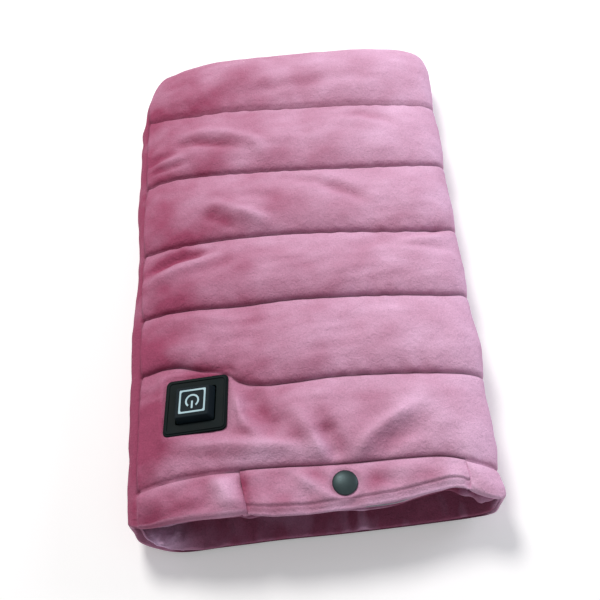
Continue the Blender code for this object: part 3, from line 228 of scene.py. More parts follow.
def smooth_step(low: float, high: float, values: Grid) -> Grid:
    """Rise from 0 at low to 1 at high with level ends: 3 t squared less 2 t cubed."""
    t = np.clip((values - low) / (high - low), 0, 1)
    return t * t * (3 - 2 * t)


def smooth_line(picks: Picks, x: Grid) -> Grid:
    """Smooth curve through picked points, as a cubic Hermite spline with limited slopes.

    Args:
        picks: Places and values in millimetres, by growing place.
        x: Places in metres.

    Returns:
        Values in metres, level past both ends.
    """
    places, values = np.array(picks).T * MM
    steps = np.diff(places)
    rises = np.diff(values) / steps
    slopes = np.concatenate([[0], (rises[1:] + rises[:-1]) / 2, [0]])
    at = np.clip(np.searchsorted(places, x) - 1, 0, len(steps) - 1)
    t = np.clip((x - places[at]) / steps[at], 0, 1)
    start, end = values[at], values[at + 1]
    leaving, arriving = slopes[at] * steps[at], slopes[at + 1] * steps[at]
    return (start * (1 + 2 * t) * (1 - t) ** 2 + leaving * t * (1 - t) ** 2
            + end * t * t * (3 - 2 * t) - arriving * t * t * (1 - t))


def ripple(points: Grid, length: float, seed: int, count: int = 18) -> Grid:
    """Smooth random field: a sum of sines in seeded directions, their lengths spread about the given one.

    Args:
        points: Grid of points.
        length: Middle wave length in metres.
        seed: Number that fixes the draw.
        count: Number of waves.

    Returns:
        Values about zero, mostly within one and a half.
    """
    draw = np.random.default_rng(seed)
    ways = draw.normal(size=(count, 3))
    ways /= np.linalg.norm(ways, axis=1, keepdims=True)
    lengths = length * draw.uniform(0.7, 1.6, count)
    phases = draw.uniform(0, 2 * math.pi, count)
    turns = points @ (ways * (2 * math.pi / lengths)[:, None]).T + phases
    return np.sin(turns).sum(-1) / math.sqrt(count / 2)


@dataclass(frozen=True)
class Wave:
    """A seeded ripple of the cloth: its height, its middle length and the number that fixes its draw."""

    height: float
    length: float
    seed: int

    def at(self, points: Grid) -> Grid:
        """Height of the ripple at points."""
        return self.height * ripple(points, self.length, self.seed)


def rounded_loop(half_x: float, half_y: float, radius: float, z: float, segments: int = 8) -> Grid:
    """Points of a rounded rectangle: a quarter arc at each corner, anticlockwise from +X."""
    turns = np.arange(segments + 1) / segments
    corners = np.arange(4)[:, None]
    angles = (math.pi / 2) * (corners + turns[None, :])
    sign_x = np.where((corners == 0) | (corners == 3), 1, -1)
    sign_y = np.where(corners < 2, 1, -1)
    x = sign_x * (half_x - radius) + radius * np.cos(angles)
    y = sign_y * (half_y - radius) + radius * np.sin(angles)
    return np.stack([x.ravel(), y.ravel(), np.full(x.size, z)], axis=-1)


def profile_grid(profile: Profile) -> Grid:
    """Grid of rounded rectangles, from rows of half width, half length, corner radius and height."""
    return np.stack([rounded_loop(*(size * MM for size in row)) for row in profile])


def place_points(points: Grid, place: Matrix) -> Grid:
    """Points turned and moved by a place."""
    turn = np.array(place)
    return points @ turn[:3, :3].T + turn[:3, 3]


def lathe_grid(profile: Picks, segments: int) -> Grid:
    """Grid of a turned piece about Z: each profile point in millimetres carried round a circle."""
    radii, heights = np.array(profile).T * MM
    angles = np.arange(segments) * 2 * math.pi / segments
    x = radii[:, None] * np.cos(angles)
    y = radii[:, None] * np.sin(angles)
    return np.stack([x, y, heights[:, None] + 0 * x], axis=-1)


# Finishes

@dataclass(frozen=True)
class Finish:
    """A procedural finish on the object's own coordinates: its name, its colour and its second colour."""

    name: str
    colour: str
    second: str

    def inputs(self, tree: NodeTree, place: NodeSocket) -> dict:
        """Add the finish's own nodes and give the inputs of its shader.

        Args:
            tree: Node tree of the material.
            place: Place on the object.

        Returns:
            Input names of the Principled shader, each with a value, a hex colour or an output.
        """
        raise NotImplementedError

    def material(self) -> Material:
        """Make the material."""
        material = bpy.data.materials.new(self.name)
        material.use_nodes = True
        tree = material.node_tree
        place = add_node(tree, "TexCoord", "Object", {})
        set_inputs(tree, tree.nodes["Principled BSDF"], self.inputs(tree, place))
        return material


@dataclass(frozen=True)
class PlushFinish(Finish):
    """Short-pile polyester plush: soft and dull, with random patches of tone, painted light and sheen in a
    paler colour, and painted shade in a deeper one.
    """

    pale_tone_and_light: str
    sheen_tint: str
    sheen: float = 0.35
    patch_size: float = 34 * MM
    cloud_size: float = 9 * MM
    grain_size: float = 0.9 * MM
    grain_depth: float = 0.38 * MM
    tuft_size: float = 3.4 * MM
    tuft_share: float = 2.2

    def inputs(self, tree: NodeTree, place: NodeSocket) -> dict:
        """Random patches of paler pile, a fine grain, painted light and sheen in the pale colour, and painted
        shade of the seams and the mouth in the second, deeper colour.
        """
        painted_shade = add_node(tree, "Attribute", "Fac", {}, attribute_name="painted_shade")
        # Painted light and shade: this attribute mixes in the pale colour for painted light and sheen, lowers
        # it for painted shade, and also carries the pile's own tone.
        pale_tone_and_light = add_node(tree, "Attribute", "Fac", {}, attribute_name="pale_tone_and_light")
        noises = ((self.patch_size, {"Detail": 2}), (self.cloud_size, {"Detail": 3}),
                  (self.grain_size, {"Detail": 3, "Roughness": 0.7}),
                  (self.tuft_size, {"Detail": 2, "Distortion": 0.8}))
        patch, cloud, grain, tuft = (
            add_node(tree, "TexNoise", "Fac", {"Vector": place, "Scale": 1 / size, **more})
            for size, more in noises)
        spread = add_node(tree, "MapRange", "Result", {"Value": patch, "From Min": 0.38, "From Max": 0.66})
        soft = add_node(tree, "MapRange", "Result", {"Value": cloud, "From Min": 0.3, "From Max": 0.75,
                                                     "To Max": 0.1})
        pale_share = add_node(tree, "Math", 0, {0: spread, 1: 0.08, 2: soft}, operation="MULTIPLY_ADD")
        pale_share = add_node(tree, "Math", 0, {0: pale_share, 1: pale_tone_and_light}, operation="ADD", use_clamp=True)
        colour = add_node(tree, "Mix", 2, {0: pale_share, 6: self.colour, 7: self.pale_tone_and_light}, data_type="RGBA")
        fleck = add_node(tree, "MapRange", "Result", {"Value": grain, "From Min": 0.3, "From Max": 0.7,
                                                      "To Min": 0.85, "To Max": 1.12})
        colour = add_node(tree, "VectorMath", 0, {0: colour, 1: fleck}, operation="MULTIPLY")
        # Painted shade: the second, deeper colour is mixed in by the painted shade of the seams and of the
        # mouth's inside.
        colour = add_node(tree, "Mix", 2, {0: painted_shade, 6: colour, 7: self.second}, data_type="RGBA")
        height = add_node(tree, "Math", 0, {0: tuft, 1: self.tuft_share, 2: grain}, operation="MULTIPLY_ADD")
        bump = add_node(tree, "Bump", 0, {"Height": height, "Distance": self.grain_depth, "Strength": 0.8})
        return {"Base Color": colour, "Normal": bump, "Roughness": 0.96, "Specular IOR Level": 0.12,
                "Sheen Weight": self.sheen, "Sheen Roughness": 0.45, "Sheen Tint": self.sheen_tint}


@dataclass(frozen=True)
class WovenFinish(Finish):
    """Plain-woven polyester taffeta: smooth, with a faint satin gleam and fine crossing threads."""

    thread_pitch: float = 0.6 * MM
    tone_patch_size: float = 14 * MM
    thread_depth: float = 0.08 * MM
    roughness: float = 0.5

    def inputs(self, tree: NodeTree, place: NodeSocket) -> dict:
        """Two crossed bands of threads, drawn twice as coarse as real to show at all."""
        scale = 1 / (self.thread_pitch * 2 * math.pi) * math.pi / 10
        warp, weft = (add_node(tree, "TexWave", "Fac", {"Vector": place, "Scale": scale, "Distortion": 0.6},
                               bands_direction=way) for way in ("X", "Y"))
        weave = add_node(tree, "Math", 0, {0: warp, 1: weft}, operation="MULTIPLY")
        # Colour varies at random in soft patches.
        tone_patches = add_node(tree, "TexNoise", "Fac", {"Vector": place, "Scale": 1 / self.tone_patch_size,
                                                     "Detail": 2})
        blend = add_node(tree, "Math", 0, {0: weave, 1: 0.4, 2: tone_patches}, operation="MULTIPLY_ADD",
                         use_clamp=True)
        colour = add_node(tree, "Mix", 2, {0: blend, 6: self.second, 7: self.colour}, data_type="RGBA")
        bump = add_node(tree, "Bump", 0, {"Height": weave, "Distance": self.thread_depth, "Strength": 0.5})
        return {"Base Color": colour, "Normal": bump, "Roughness": self.roughness, "Sheen Weight": 0.2}


@dataclass(frozen=True)
class MouldedFinish(Finish):
    """Moulded plastic or rubber: one colour with a fine spark-eroded texture and slight gloss changes."""

    roughness: float = 0.42
    texture_size: float = 0.35 * MM
    texture_depth: float = 0.02 * MM
    rub_size: float = 12 * MM
    coat: float = 0.0
    specular: float = 0.5

    def inputs(self, tree: NodeTree, place: NodeSocket) -> dict:
        """Fine bumps, and patches that are a little paler and duller from handling."""
        fine, wide = (
            add_node(tree, "TexNoise", "Fac", {"Vector": place, "Scale": 1 / size, "Detail": detail})
            for size, detail in ((self.texture_size, 2), (self.rub_size, 3)))
        rubbed = add_node(tree, "MapRange", "Result", {"Value": wide, "From Min": 0.4, "From Max": 0.8})
        colour = add_node(tree, "Mix", 2, {0: rubbed, 6: self.colour, 7: self.second}, data_type="RGBA")
        gloss = add_node(tree, "MapRange", "Result", {"Value": wide, "To Min": self.roughness - 0.08,
                                                      "To Max": self.roughness + 0.1})
        bump = add_node(tree, "Bump", 0, {"Height": fine, "Distance": self.texture_depth, "Strength": 0.6})
        return {"Base Color": colour, "Roughness": gloss, "Normal": bump, "Coat Weight": self.coat,
                "Specular IOR Level": self.specular}


@dataclass(frozen=True)
class PlatedFinish(Finish):
    """Plated or bare metal: brushed or tumbled to a satin, a little uneven in gloss."""

    roughness: float = 0.32
    metallic: float = 1.0
    mark_size: float = 0.5 * MM
    mark_depth: float = 0.02 * MM
    patch_size: float = 5 * MM

    def inputs(self, tree: NodeTree, place: NodeSocket) -> dict:
        """Fine tumbling marks in its gloss, and duller patches."""
        marks, wide = (
            add_node(tree, "TexNoise", "Fac", {"Vector": place, "Scale": 1 / size, "Detail": detail})
            for size, detail in ((self.mark_size, 4), (self.patch_size, 2)))
        colour = add_node(tree, "Mix", 2, {0: wide, 6: self.colour, 7: self.second}, data_type="RGBA")
        gloss = add_node(tree, "MapRange", "Result", {"Value": marks, "To Min": self.roughness - 0.08,
                                                      "To Max": self.roughness + 0.12})
        bump = add_node(tree, "Bump", 0, {"Height": marks, "Distance": self.mark_depth, "Strength": 0.4})
        return {"Base Color": colour, "Roughness": gloss, "Normal": bump, "Metallic": self.metallic}


@dataclass(frozen=True)
class FibreFinish(Finish):
    """Matted fibres, such as polyester wadding or carbon cloth: cloudy, dull and rough."""

    fibre_size: float = 0.8 * MM
    fibre_depth: float = 0.3 * MM

    def inputs(self, tree: NodeTree, place: NodeSocket) -> dict:
        """One cloud of fibres in colour and relief."""
        fibre = add_node(tree, "TexNoise", "Fac", {"Vector": place, "Scale": 1 / self.fibre_size, "Detail": 4,
                                                   "Distortion": 1.5})
        colour = add_node(tree, "Mix", 2, {0: fibre, 6: self.second, 7: self.colour}, data_type="RGBA")
        bump = add_node(tree, "Bump", 0, {"Height": fibre, "Distance": self.fibre_depth, "Strength": 0.6})
        return {"Base Color": colour, "Normal": bump, "Roughness": 0.95}


FINISHES = {
    # In both plush finishes the second colour is painted shade for the seams and under the mouth, and the
    # third, pale colour takes the painted light and sheen; the lining's pale colour is set light so that its
    # tufts look lit though they sit in shade.
    "shell_plush": PlushFinish("mauve_pink_coral_plush", "#A64F6E", "#4E2436", "#EDBEDC", "#F5E2F3", 0.06),
    "lining_plush": PlushFinish("mauve_pink_lining_plush", "#A45C78", "#3C1A2C", "#F4CCF0", "#E6D0EA", 0.1),
    "wadding": FibreFinish("polyester_wadding", "#F2F0EA", "#D5D2CA", 1.6 * MM),
    "taffeta": WovenFinish("grey_polyester_taffeta", "#B9B8C0", "#8E8D97"),
    "snap_metal": PlatedFinish("dark_tumbled_plating", "#364244", "#293334", 0.42, 0.85),
    "bright_metal": PlatedFinish("nickel_plated_steel", "#C3C6C9", "#A9ADB1", 0.28),
    "switch_plastic": MouldedFinish("black_moulded_abs", "#091213", "#0E191A", 0.55, specular=0.07),
    "pale_print": MouldedFinish("pale_cyan_pad_print", "#A6C6CE", "#98BAC3", 0.5),
    "circuit_board": MouldedFinish("green_solder_mask", "#2F6B45", "#285C3B", 0.3, coat=0.4),
    "heating_sheet": FibreFinish("carbon_fibre_cloth", "#3F3F45", "#26262B", 1.2 * MM),
    "wire_jacket": MouldedFinish("red_silicone_rubber", "#B03A2E", "#9B3328", 0.5),
    "cable_jacket": MouldedFinish("black_moulded_rubber", "#26282A", "#303335", 0.6),
    "battery_plastic": MouldedFinish("white_textured_abs", "#E9EAEC", "#DFE0E3", 0.45, 0.5 * MM, 0.04 * MM),
    "cell_foil": PlatedFinish("laminated_cell_foil", "#A9BACB", "#93A7BC", 0.35, 0.7),
    "key_plastic": MouldedFinish("black_polished_abs", "#0E181D", "#121E24", 0.55, specular=0.08),
}


# The pouch's form, as the frame has it

@dataclass(frozen=True)
class PouchForm:
    """Flattened tube with a rounded closed end, the shared base of every soft piece."""

    width: float = 220 * MM
    length: float = 380 * MM
    side_crown: float = 1.5 * MM
    front_rise: float = 22 * MM
    back_drop: float = 18 * MM
    fold_height: float = 22 * MM
    end_round: float = 45 * MM
    left_corner: float = 58 * MM
    end_setback: float = 8.5 * MM
    right_corner: float = 25 * MM
    mouth_squareness: float = 3.8
    end_squareness: float = 2.6
    back_squareness: float = 5.0
    end_curve: float = 2.2
    pocket_left: float = -41 * MM
    pocket_right: float = 86 * MM
    battery_left: float = -13.5 * MM
    battery_right: float = 58.5 * MM
    ramp: Picks = ((-168, 0), (-152, 1), (-15, 1), (-2, 0))
    battery_sag: float = 8.4 * MM
    right_light_start: float = -104 * MM
    right_light_run: float = 214 * MM
    lean_start: float = -165 * MM
    lean_run: float = 22 * MM
    left_lean: Pair = (3.6 * MM, 10 * MM)
    right_lean: Pair = (1.2 * MM, 8 * MM)
    droop_place: Pair = (-94 * MM, 13 * MM)
    droop_depth: float = 6.5 * MM
    droop_run: Pair = (-174 * MM, -189 * MM)
    flare_run: Pair = (-183 * MM, -158 * MM)
    flare_reach: Pair = (2.4 * MM, 4.8 * MM)
    column_gap: float = 0.35 * MM
    lip_run: Pair = (-178 * MM, -150 * MM)
    lip_lift: float = 1.3 * MM
    lip_lift_run: Pair = (8 * MM, 16 * MM)
    snap_x: float = 17.6 * MM

    @property
    def half_length(self) -> float:
        """Place of the closed end's base line, a little short of half of the length."""
        return self.length / 2 - self.end_setback

    @property
    def base_half(self) -> float:
        """Half width at the seam level."""
        return self.width / 2 - self.side_crown

    def half_width(self, share: Grid, y: Grid, inset: float) -> Grid:
        """Half width, drawn in by a quarter circle round the corners of the closed end."""
        corner = np.where(share < 0, self.left_corner, self.right_corner) - inset * 0.5
        turn = np.clip((y - (self.half_length - inset - corner)) / corner, 0, 1)
        return self.base_half - inset - corner * (1 - np.sqrt(1 - turn ** 2))

    def lift(self, share: Grid, y: Grid, front: Grid, inset: float) -> Grid:
        """Height over or under the fold: a superellipse across, times one round the closed end."""
        along = np.clip((y + self.length / 2) / self.length, 0, 1)
        power = np.where(front, self.mouth_squareness + (self.end_squareness - self.mouth_squareness) * along,
                         self.back_squareness)
        turn = np.clip((y - (self.half_length - self.end_round)) / (self.end_round - inset), 0, 1)
        height = np.where(front, self.front_rise, self.back_drop) - inset
        across = np.clip(1 - np.abs(share) ** power, 0, 1) ** (1 / power)
        return height * across * (1 - turn ** self.end_curve) ** (1 / self.end_curve)

    def points(self, share: Grid, y: Grid, front: Grid, inset: float = 0.0) -> Grid:
        """Points at an inset from the seam level.

        Args:
            share: Place across, from -1 at the left fold to 1 at the right fold.
            y: Place along the pouch.
            front: Whether each point is on the front panel.
            inset: Depth under the seam level.

        Returns:
            Grid of points.
        """
        side = np.where(front, 1, -1)
        height = self.fold_height + side * self.lift(share, y, front, inset)
        return np.stack([share * self.half_width(share, y, inset), y + 0 * share, height + 0 * y], axis=-1)

    def right_side_light(self, x: Grid) -> Grid:
        """Painted light and sheen from the right: share of the pale colour, little at the left, most at the
        right edge.
        """
        return 0.04 + 0.78 * np.clip((x - self.right_light_start) / self.right_light_run, 0, 1) ** 0.95

    def slit_lean(self, x: Grid, y: Grid) -> Grid:
        """How far the hem leans sideways at the pocket's slits, growing from the seam to the mouth."""
        run = np.clip((self.lean_start - y) / self.lean_run, 0, 1.1)
        leans = ((self.pocket_left, self.left_lean), (self.pocket_right, self.right_lean))
        return sum(lean * bell(x - place, reach) for place, (lean, reach) in leans) * run

    def sag(self, x: Grid, y: Grid) -> Grid:
        """How far the inner layers hang under the battery: full beneath it, nothing past its pocket."""
        places, shares = np.array(self.ramp).T
        across = np.interp(x, (self.pocket_left, self.battery_left, self.battery_right, self.pocket_right),
                           (0, 1, 1, 0))
        return self.battery_sag * across * np.interp(y, places * MM, shares)

    def droop(self, share: Grid, y: Grid, front: Grid) -> Grid:
        """How far the front's edge hangs at the mouth's left corner: a bell across, fading into the pouch."""
        place, reach = self.droop_place
        across = bell(share * self.base_half - place, reach) * (1 - np.abs(share) ** 12)
        return np.where(front, self.droop_depth * across * smooth_step(*self.droop_run, y), 0)

    def near_mouth(self, y: Grid) -> Grid:
        """One at the mouth, falling to zero behind the pocket's lip."""
        return 1 - smooth_step(*self.lip_run, y)

    def lip_raise(self, x: Grid) -> Grid:
        """How far the pocket's inner lip rises at both sides of the snap."""
        return self.lip_lift * smooth_step(*self.lip_lift_run, np.abs(x - self.snap_x))

    def flare(self, share: Grid, y: Grid, front: Grid, lip: Grid, back_thin: float,
              front_thin: float) -> Grid:
        """How the inner layers spread out at the mouth, where the padding is thin.

        Args:
            share: Shares across.
            y: Places along.
            front: Whether each point is on the front.
            lip: Share of each column that belongs to the pocket's inner lip, where nothing spreads.
            back_thin: How far the back's inner side sinks at the mouth.
            front_thin: How far the front's inner side rises at the mouth.

        Returns:
            Moves to add to the points.
        """
        near = 1 - smooth_step(*self.flare_run, y)
        inner_part = 1 - np.abs(share) ** 9
        rise = np.where(front, front_thin * (1 - lip), -back_thin) * near * inner_part
        reach = np.where(share < 0, *self.flare_reach)
        return np.stack([np.sign(share) * np.abs(share) ** 5 * reach * near, 0 * y, rise], axis=-1)

    def inner_side(self, share: Grid, y: Grid, front: Grid, lip: Grid,
                   depths: tuple[float, float, float, float]) -> Grid:
        """Points of an inner layer: it sags under the battery, and spreads and droops at the mouth.

        Args:
            share: Shares across.
            y: Places along.
            front: Whether each point is on the front.
            lip: Share of each column that belongs to the pocket's inner lip.
            depths: Depth under the seam level, depth on the lip, sink of the back and rise of the front.

        Returns:
            Grid of points.
        """
        depth, lip_depth, back_thin, front_thin = depths
        points = self.points(share, y, front, depth)
        points[..., 2] -= np.where(front, self.sag(points[..., 0], y), 0)
        points[..., 2] -= (lip_depth - depth) * lip * self.near_mouth(y)
        points += self.flare(share, y, front, lip, back_thin, front_thin)
        points[..., 2] -= self.droop(share, y, front)
        return points

    def ring(self, spacing: float, extra: tuple[float, ...] = ()) -> tuple[Grid, Grid]:
        """Columns round the pouch, evenly spread along its section, the front's first and then the back's.

        Args:
            spacing: Distance between columns.
            extra: Places across that get a column each.

        Returns:
            Shares across, and whether each column is on the front.
        """
        share = np.sin(np.linspace(0, math.pi / 2, 4000)) ** 0.5
        share = np.unique(np.concatenate([[0], 1 - (1 - share) ** 2, [1]]))
        power = (self.mouth_squareness + self.end_squareness) / 2
        height = self.front_rise * (1 - share ** power) ** (1 / power)
        steps = np.hypot(np.diff(share * self.base_half), np.diff(height))
        run = np.concatenate([[0], np.cumsum(steps)])
        count = int(round(run[-1] / spacing))
        half = np.interp(np.linspace(0, run[-1], count + 1), run, share)
        columns = np.concatenate([-half[:0:-1], half])
        for place in extra:
            wanted = place / self.base_half
            keep = np.abs(columns - wanted) > self.column_gap / self.base_half
            columns = np.sort(np.append(columns[keep | (np.abs(columns) == 1)], wanted))
        shares = np.concatenate([columns, columns[-2:0:-1]])
        front = np.arange(len(shares)) < len(columns)
        return shares, front


class Relief(Enum):
    """How a crease shows: which way its height goes."""

    RIDGE = 1
    VALLEY = -1


RIDGE, VALLEY = Relief.RIDGE, Relief.VALLEY


@dataclass(frozen=True)
class Crease:
    """One crease of the cover: its kind, the line that it follows, its half width and its height."""

    relief: Relief
    line: Picks
    width: float
    height: float

    def lift(self, x: Grid, y: Grid) -> Grid:
        """Height at places: a bell across the nearest part of the line, fading over its end parts.

        Args:
            x: Places across.
            y: Places along.

        Returns:
            Height to add along the normal.
        """
        line = np.array(self.line) * MM
        spans = np.linalg.norm(np.diff(line, axis=0), axis=1)
        best = np.full(x.shape, np.inf)
        run = np.zeros(x.shape)
        start = 0.0
        for (x0, y0), (x1, y1), span in zip(line, line[1:], spans):
            way_x, way_y = (x1 - x0) / span, (y1 - y0) / span
            t = np.clip((x - x0) * way_x + (y - y0) * way_y, 0, span)
            distance = np.hypot(x - x0 - t * way_x, y - y0 - t * way_y)
            run = np.where(distance < best, start + t, run)
            best = np.minimum(distance, best)
            start += span
        share = run / spans.sum()
        ends = smooth_step(0, 0.3, share) * smooth_step(0, 0.3, 1 - share) * 0.75 + 0.25
        return self.relief.value * bell(best, self.width * MM) * ends * self.height * MM


@dataclass(frozen=True)
class Quilting:
    """The seams, the mouth's edges and the creases of the cover, in millimetres on the model."""

    seams: tuple[Picks, ...] = (
        ((-108, -172), (-98.5, -168.5), (-75, -164.6), (-44, -163.2), (-29, -163.2), (13, -164.6),
         (32.6, -164.6), (54, -164.2), (76.4, -164.8), (91, -168), (105, -170.3), (108.5, -171)),
        ((-108, -96), (-99, -94.5), (-86.8, -92.4), (-75, -93), (-63.6, -96.9), (-47, -101.6),
         (-39.5, -106.9), (-27, -110.3), (-7.4, -110.2), (14.7, -108.8), (49.7, -109.7), (89.5, -111.4),
         (106, -111.6)),
        ((-108, -56), (-100, -54.2), (-75.5, -52.6), (-38, -53.7), (-7, -52.1), (26, -53.1), (63, -54.9),
         (93.4, -55.8), (108, -53)),
        ((-108, -6), (-96.6, -3.4), (-79, -2.3), (-43.6, -0.7), (-2.6, -1), (46.5, -4.2), (69.3, -5.8),
         (98, -3.6), (108, -1)),
        ((-108, 51), (-101, 53.5), (-92.9, 56), (-79.7, 56.6), (-37.4, 54.8), (0.7, 53.1), (35, 51),
         (76.5, 50.5), (100, 53), (108, 55)),
        ((-108, 118), (-91.8, 116.3), (-72.7, 114), (-43, 114), (4.2, 111), (40, 109.8), (84, 108.8),
         (102.6, 110), (108, 111)),
    )
    back_seams: tuple[float, ...] = (-163, -107, -51, 5, 61, 117)
    fold_reach: float = 22 * MM
    back_wave: float = 0.8 * MM
    back_wave_run: float = 31 * MM
    back_wave_turn: float = 2.1
    front_mouth: Picks = (
        (-108.5, -184), (-105, -187), (-100, -188.4), (-94, -188.6), (-84, -188.4), (-72, -188.8),
        (-58, -189), (-42.5, -188.4), (-40, -187.4), (20, -187.6), (28, -188.2), (48, -187), (57, -184.9),
        (70, -182.2), (84, -181.2), (87.5, -184.6), (93, -187.4), (100, -189), (105, -188.6), (108.5, -185))
    back_mouth: Picks = (
        (-108.5, -184), (-106.5, -187.6), (-102, -190.2), (-95, -192.6), (-86, -194.8), (-77, -195.4),
        (-59, -194.4), (-23, -192.8), (12, -192.3), (48, -191.2), (75, -190.2), (93, -189.6), (100, -189.4),
        (105, -188.4), (108.5, -185))
    left_wrap: Picks = (
        (-185, -1.2), (-172, -0.4), (-155, -0.4), (-135, -0.2), (-115, 0.4), (-95, 0.1), (-73, 0.5),
        (-51, 0.1), (-28, -1.4), (-4, -2.2), (21, -1.2), (34, -0.2), (48, -0.6), (75, -1.2), (104, -1.5),
        (116, -1.8), (124, -3.6), (134, -3.8), (150, -3.6), (170, -3))
    right_wrap: Picks = (
        (-188, -1), (-183, -0.8), (-174, -2.2), (-155, -2.4), (-136, -2.2), (-118, -1), (-100, 0),
        (-60, -0.6), (0, 0), (60, 0.4), (120, 1.2), (170, 1.5))
    crowns: tuple[float, ...] = (2.7, 6.2, 6.6, 6.8, 6.8, 6.6, 6.8)
    creases: tuple[Crease, ...] = (
        Crease(VALLEY, ((-50, 124), (-38, 125), (10, 130), (49, 134), (84, 137)), 5, 1.1),
        Crease(RIDGE, ((-80, 126), (-62, 128), (-45, 133)), 5, 1.2),
        Crease(VALLEY, ((-92, 139), (-76, 143), (-58, 142)), 4, 0.8),
        Crease(VALLEY, ((-84, 83.5), (-62, 82), (-36, 75)), 3.2, 3.2),
        Crease(RIDGE, ((-74, 91), (-48, 89), (-22, 77), (-14, 64)), 4.4, 2.4),
        Crease(VALLEY, ((-100, 71), (-88, 75), (-74, 79)), 2.2, 1.7),
        Crease(VALLEY, ((-100, 64.5), (-86, 65), (-70, 66.5)), 2.0, 1.6),
        Crease(RIDGE, ((-99, 68), (-84, 70), (-66, 73)), 2.2, 1.2),
        Crease(RIDGE, ((-100, 78), (-88, 82), (-74, 87)), 3.0, 0.9),
        Crease(VALLEY, ((34, 96), (53.5, 96.5), (68, 91), (79, 84)), 3.4, 1.3),
        Crease(RIDGE, ((40, 89), (55, 88), (68, 82)), 4.5, 1.0),
        Crease(VALLEY, ((-6, 44), (16, 37), (33, 28.5), (54, 14)), 4.0, 2.4),
        Crease(RIDGE, ((16, 47), (34, 38), (52, 26)), 5, 1.2),
        Crease(RIDGE, ((-58, 27), (-30, 14), (-12, 4)), 4.4, 2.6),
        Crease(VALLEY, ((-64, 18), (-46, 10), (-34, 4)), 4, 1.5),
        Crease(VALLEY, ((-40, 33), (-20, 28), (0, 20)), 4, 0.9),
        Crease(VALLEY, ((-99, -24), (-89, -19), (-78, -15), (-54, -11.5)), 2.8, 4.6),
        Crease(RIDGE, ((-98, -13), (-84, -8), (-64, -5.5)), 2.8, 1.6),
        Crease(RIDGE, ((-96, -31), (-76, -24), (-54, -18)), 4.2, 2.4),
        Crease(VALLEY, ((-70, -30), (-52, -26), (-38, -20)), 4.0, 1.2),
        Crease(VALLEY, ((109, 4), (89, -7.6), (65, -13.7)), 2.6, 1.9),
        Crease(VALLEY, ((68, -21), (84, -21.5), (100, -21)), 3.0, 1.2),
        Crease(RIDGE, ((100, -10), (84, -15), (68, -18)), 3.0, 1.2),
        Crease(VALLEY, ((30, -22), (44, -19), (62, -12)), 4.0, 0.9),
        Crease(RIDGE, ((-95, -61), (-63, -60), (-32, -70)), 4, 1.2),
        Crease(VALLEY, ((-90, -72), (-70, -74), (-52, -80)), 6, 1.1),
        Crease(VALLEY, ((-37, -113), (-31, -127), (-22, -138), (-9, -134)), 6.4, 3.8),
        Crease(RIDGE, ((-43.5, -112), (-40.5, -127), (-36, -140), (-24, -148)), 3.0, 2.8),
        Crease(VALLEY, ((16.5, -164), (13.5, -152), (8, -138)), 5.0, 4.6),
        Crease(RIDGE, ((23, -165), (33, -152), (50, -140), (66, -132.5)), 4.2, 3.8),
        Crease(VALLEY, ((36, -164), (50, -153), (70, -144)), 5.4, 2.2),
        Crease(RIDGE, ((9, -163), (0, -146), (-10, -128)), 4.8, 2.8),
        Crease(RIDGE, ((-84, -145), (-64, -147), (-42, -150), (-18, -152.5), (5, -157)), 4.4, 3.2),
        Crease(VALLEY, ((-66, -138.5), (-44, -141), (-26, -145), (-6, -149)), 3.4, 1.2),
        Crease(VALLEY, ((-102, -110), (-92, -110.5), (-84, -110)), 1.6, 1.2),
        Crease(VALLEY, ((-43.5, -165), (-41.2, -174), (-38.5, -187)), 2.4, 2.0),
        Crease(RIDGE, ((-58, -165), (-52, -174), (-46, -188)), 5.0, 3.2),
        Crease(VALLEY, ((-84, -172), (-78, -180), (-76, -190)), 6.0, 1.0),
    )

    def lines(self, share: Grid, front: Grid, form: PouchForm) -> list[Grid]:
        """Places along of every seam at each column, the back's drawn to meet the front's at the folds.

        Args:
            share: Shares across of the columns.
            front: Whether each column is on the front.
            form: Form of the pouch.

        Returns:
            One array of places for each seam, from the mouth to the closed end.
        """
        x = share * form.base_half
        near_fold = np.exp(-(form.base_half - np.abs(x)) / self.fold_reach)
        rows = []
        for number, (picks, level) in enumerate(zip(self.seams, self.back_seams)):
            seam = smooth_line(picks, x)
            fold = np.where(share < 0, smooth_line(picks, np.array(-form.base_half)),
                            smooth_line(picks, np.array(form.base_half)))
            wave = self.back_wave * np.sin(x / self.back_wave_run + self.back_wave_turn * number)
            straight = level * MM + wave * (1 - near_fold)
            back = straight + (fold - straight) * near_fold
            rows.append(np.where(front, seam, back))
        return rows

    def relief(self, x: Grid, y: Grid) -> Grid:
        """Sum of all the creases at places of the front."""
        return sum(crease.lift(x, y) for crease in self.creases)


@dataclass(frozen=True)
class ShadeAndToneMark:
    """A patch of painted shade where its strength is negative and painted light where it is positive, some of
    them also for pile stroked the other way: its place, its reach across and along, and its strength.
    """

    x: float
    y: float
    reach_x: float
    reach_y: float
    strength: float

    def shade(self, points: Grid) -> Grid:
        """Change of the pale share at points: a bell in both directions, on the front alone."""
        across = bell(points[..., 0] - self.x * MM, self.reach_x * MM)
        along = bell(points[..., 1] - self.y * MM, self.reach_y * MM)
        return self.strength * across * along * (points[..., 2] > FRONT_LEVEL)


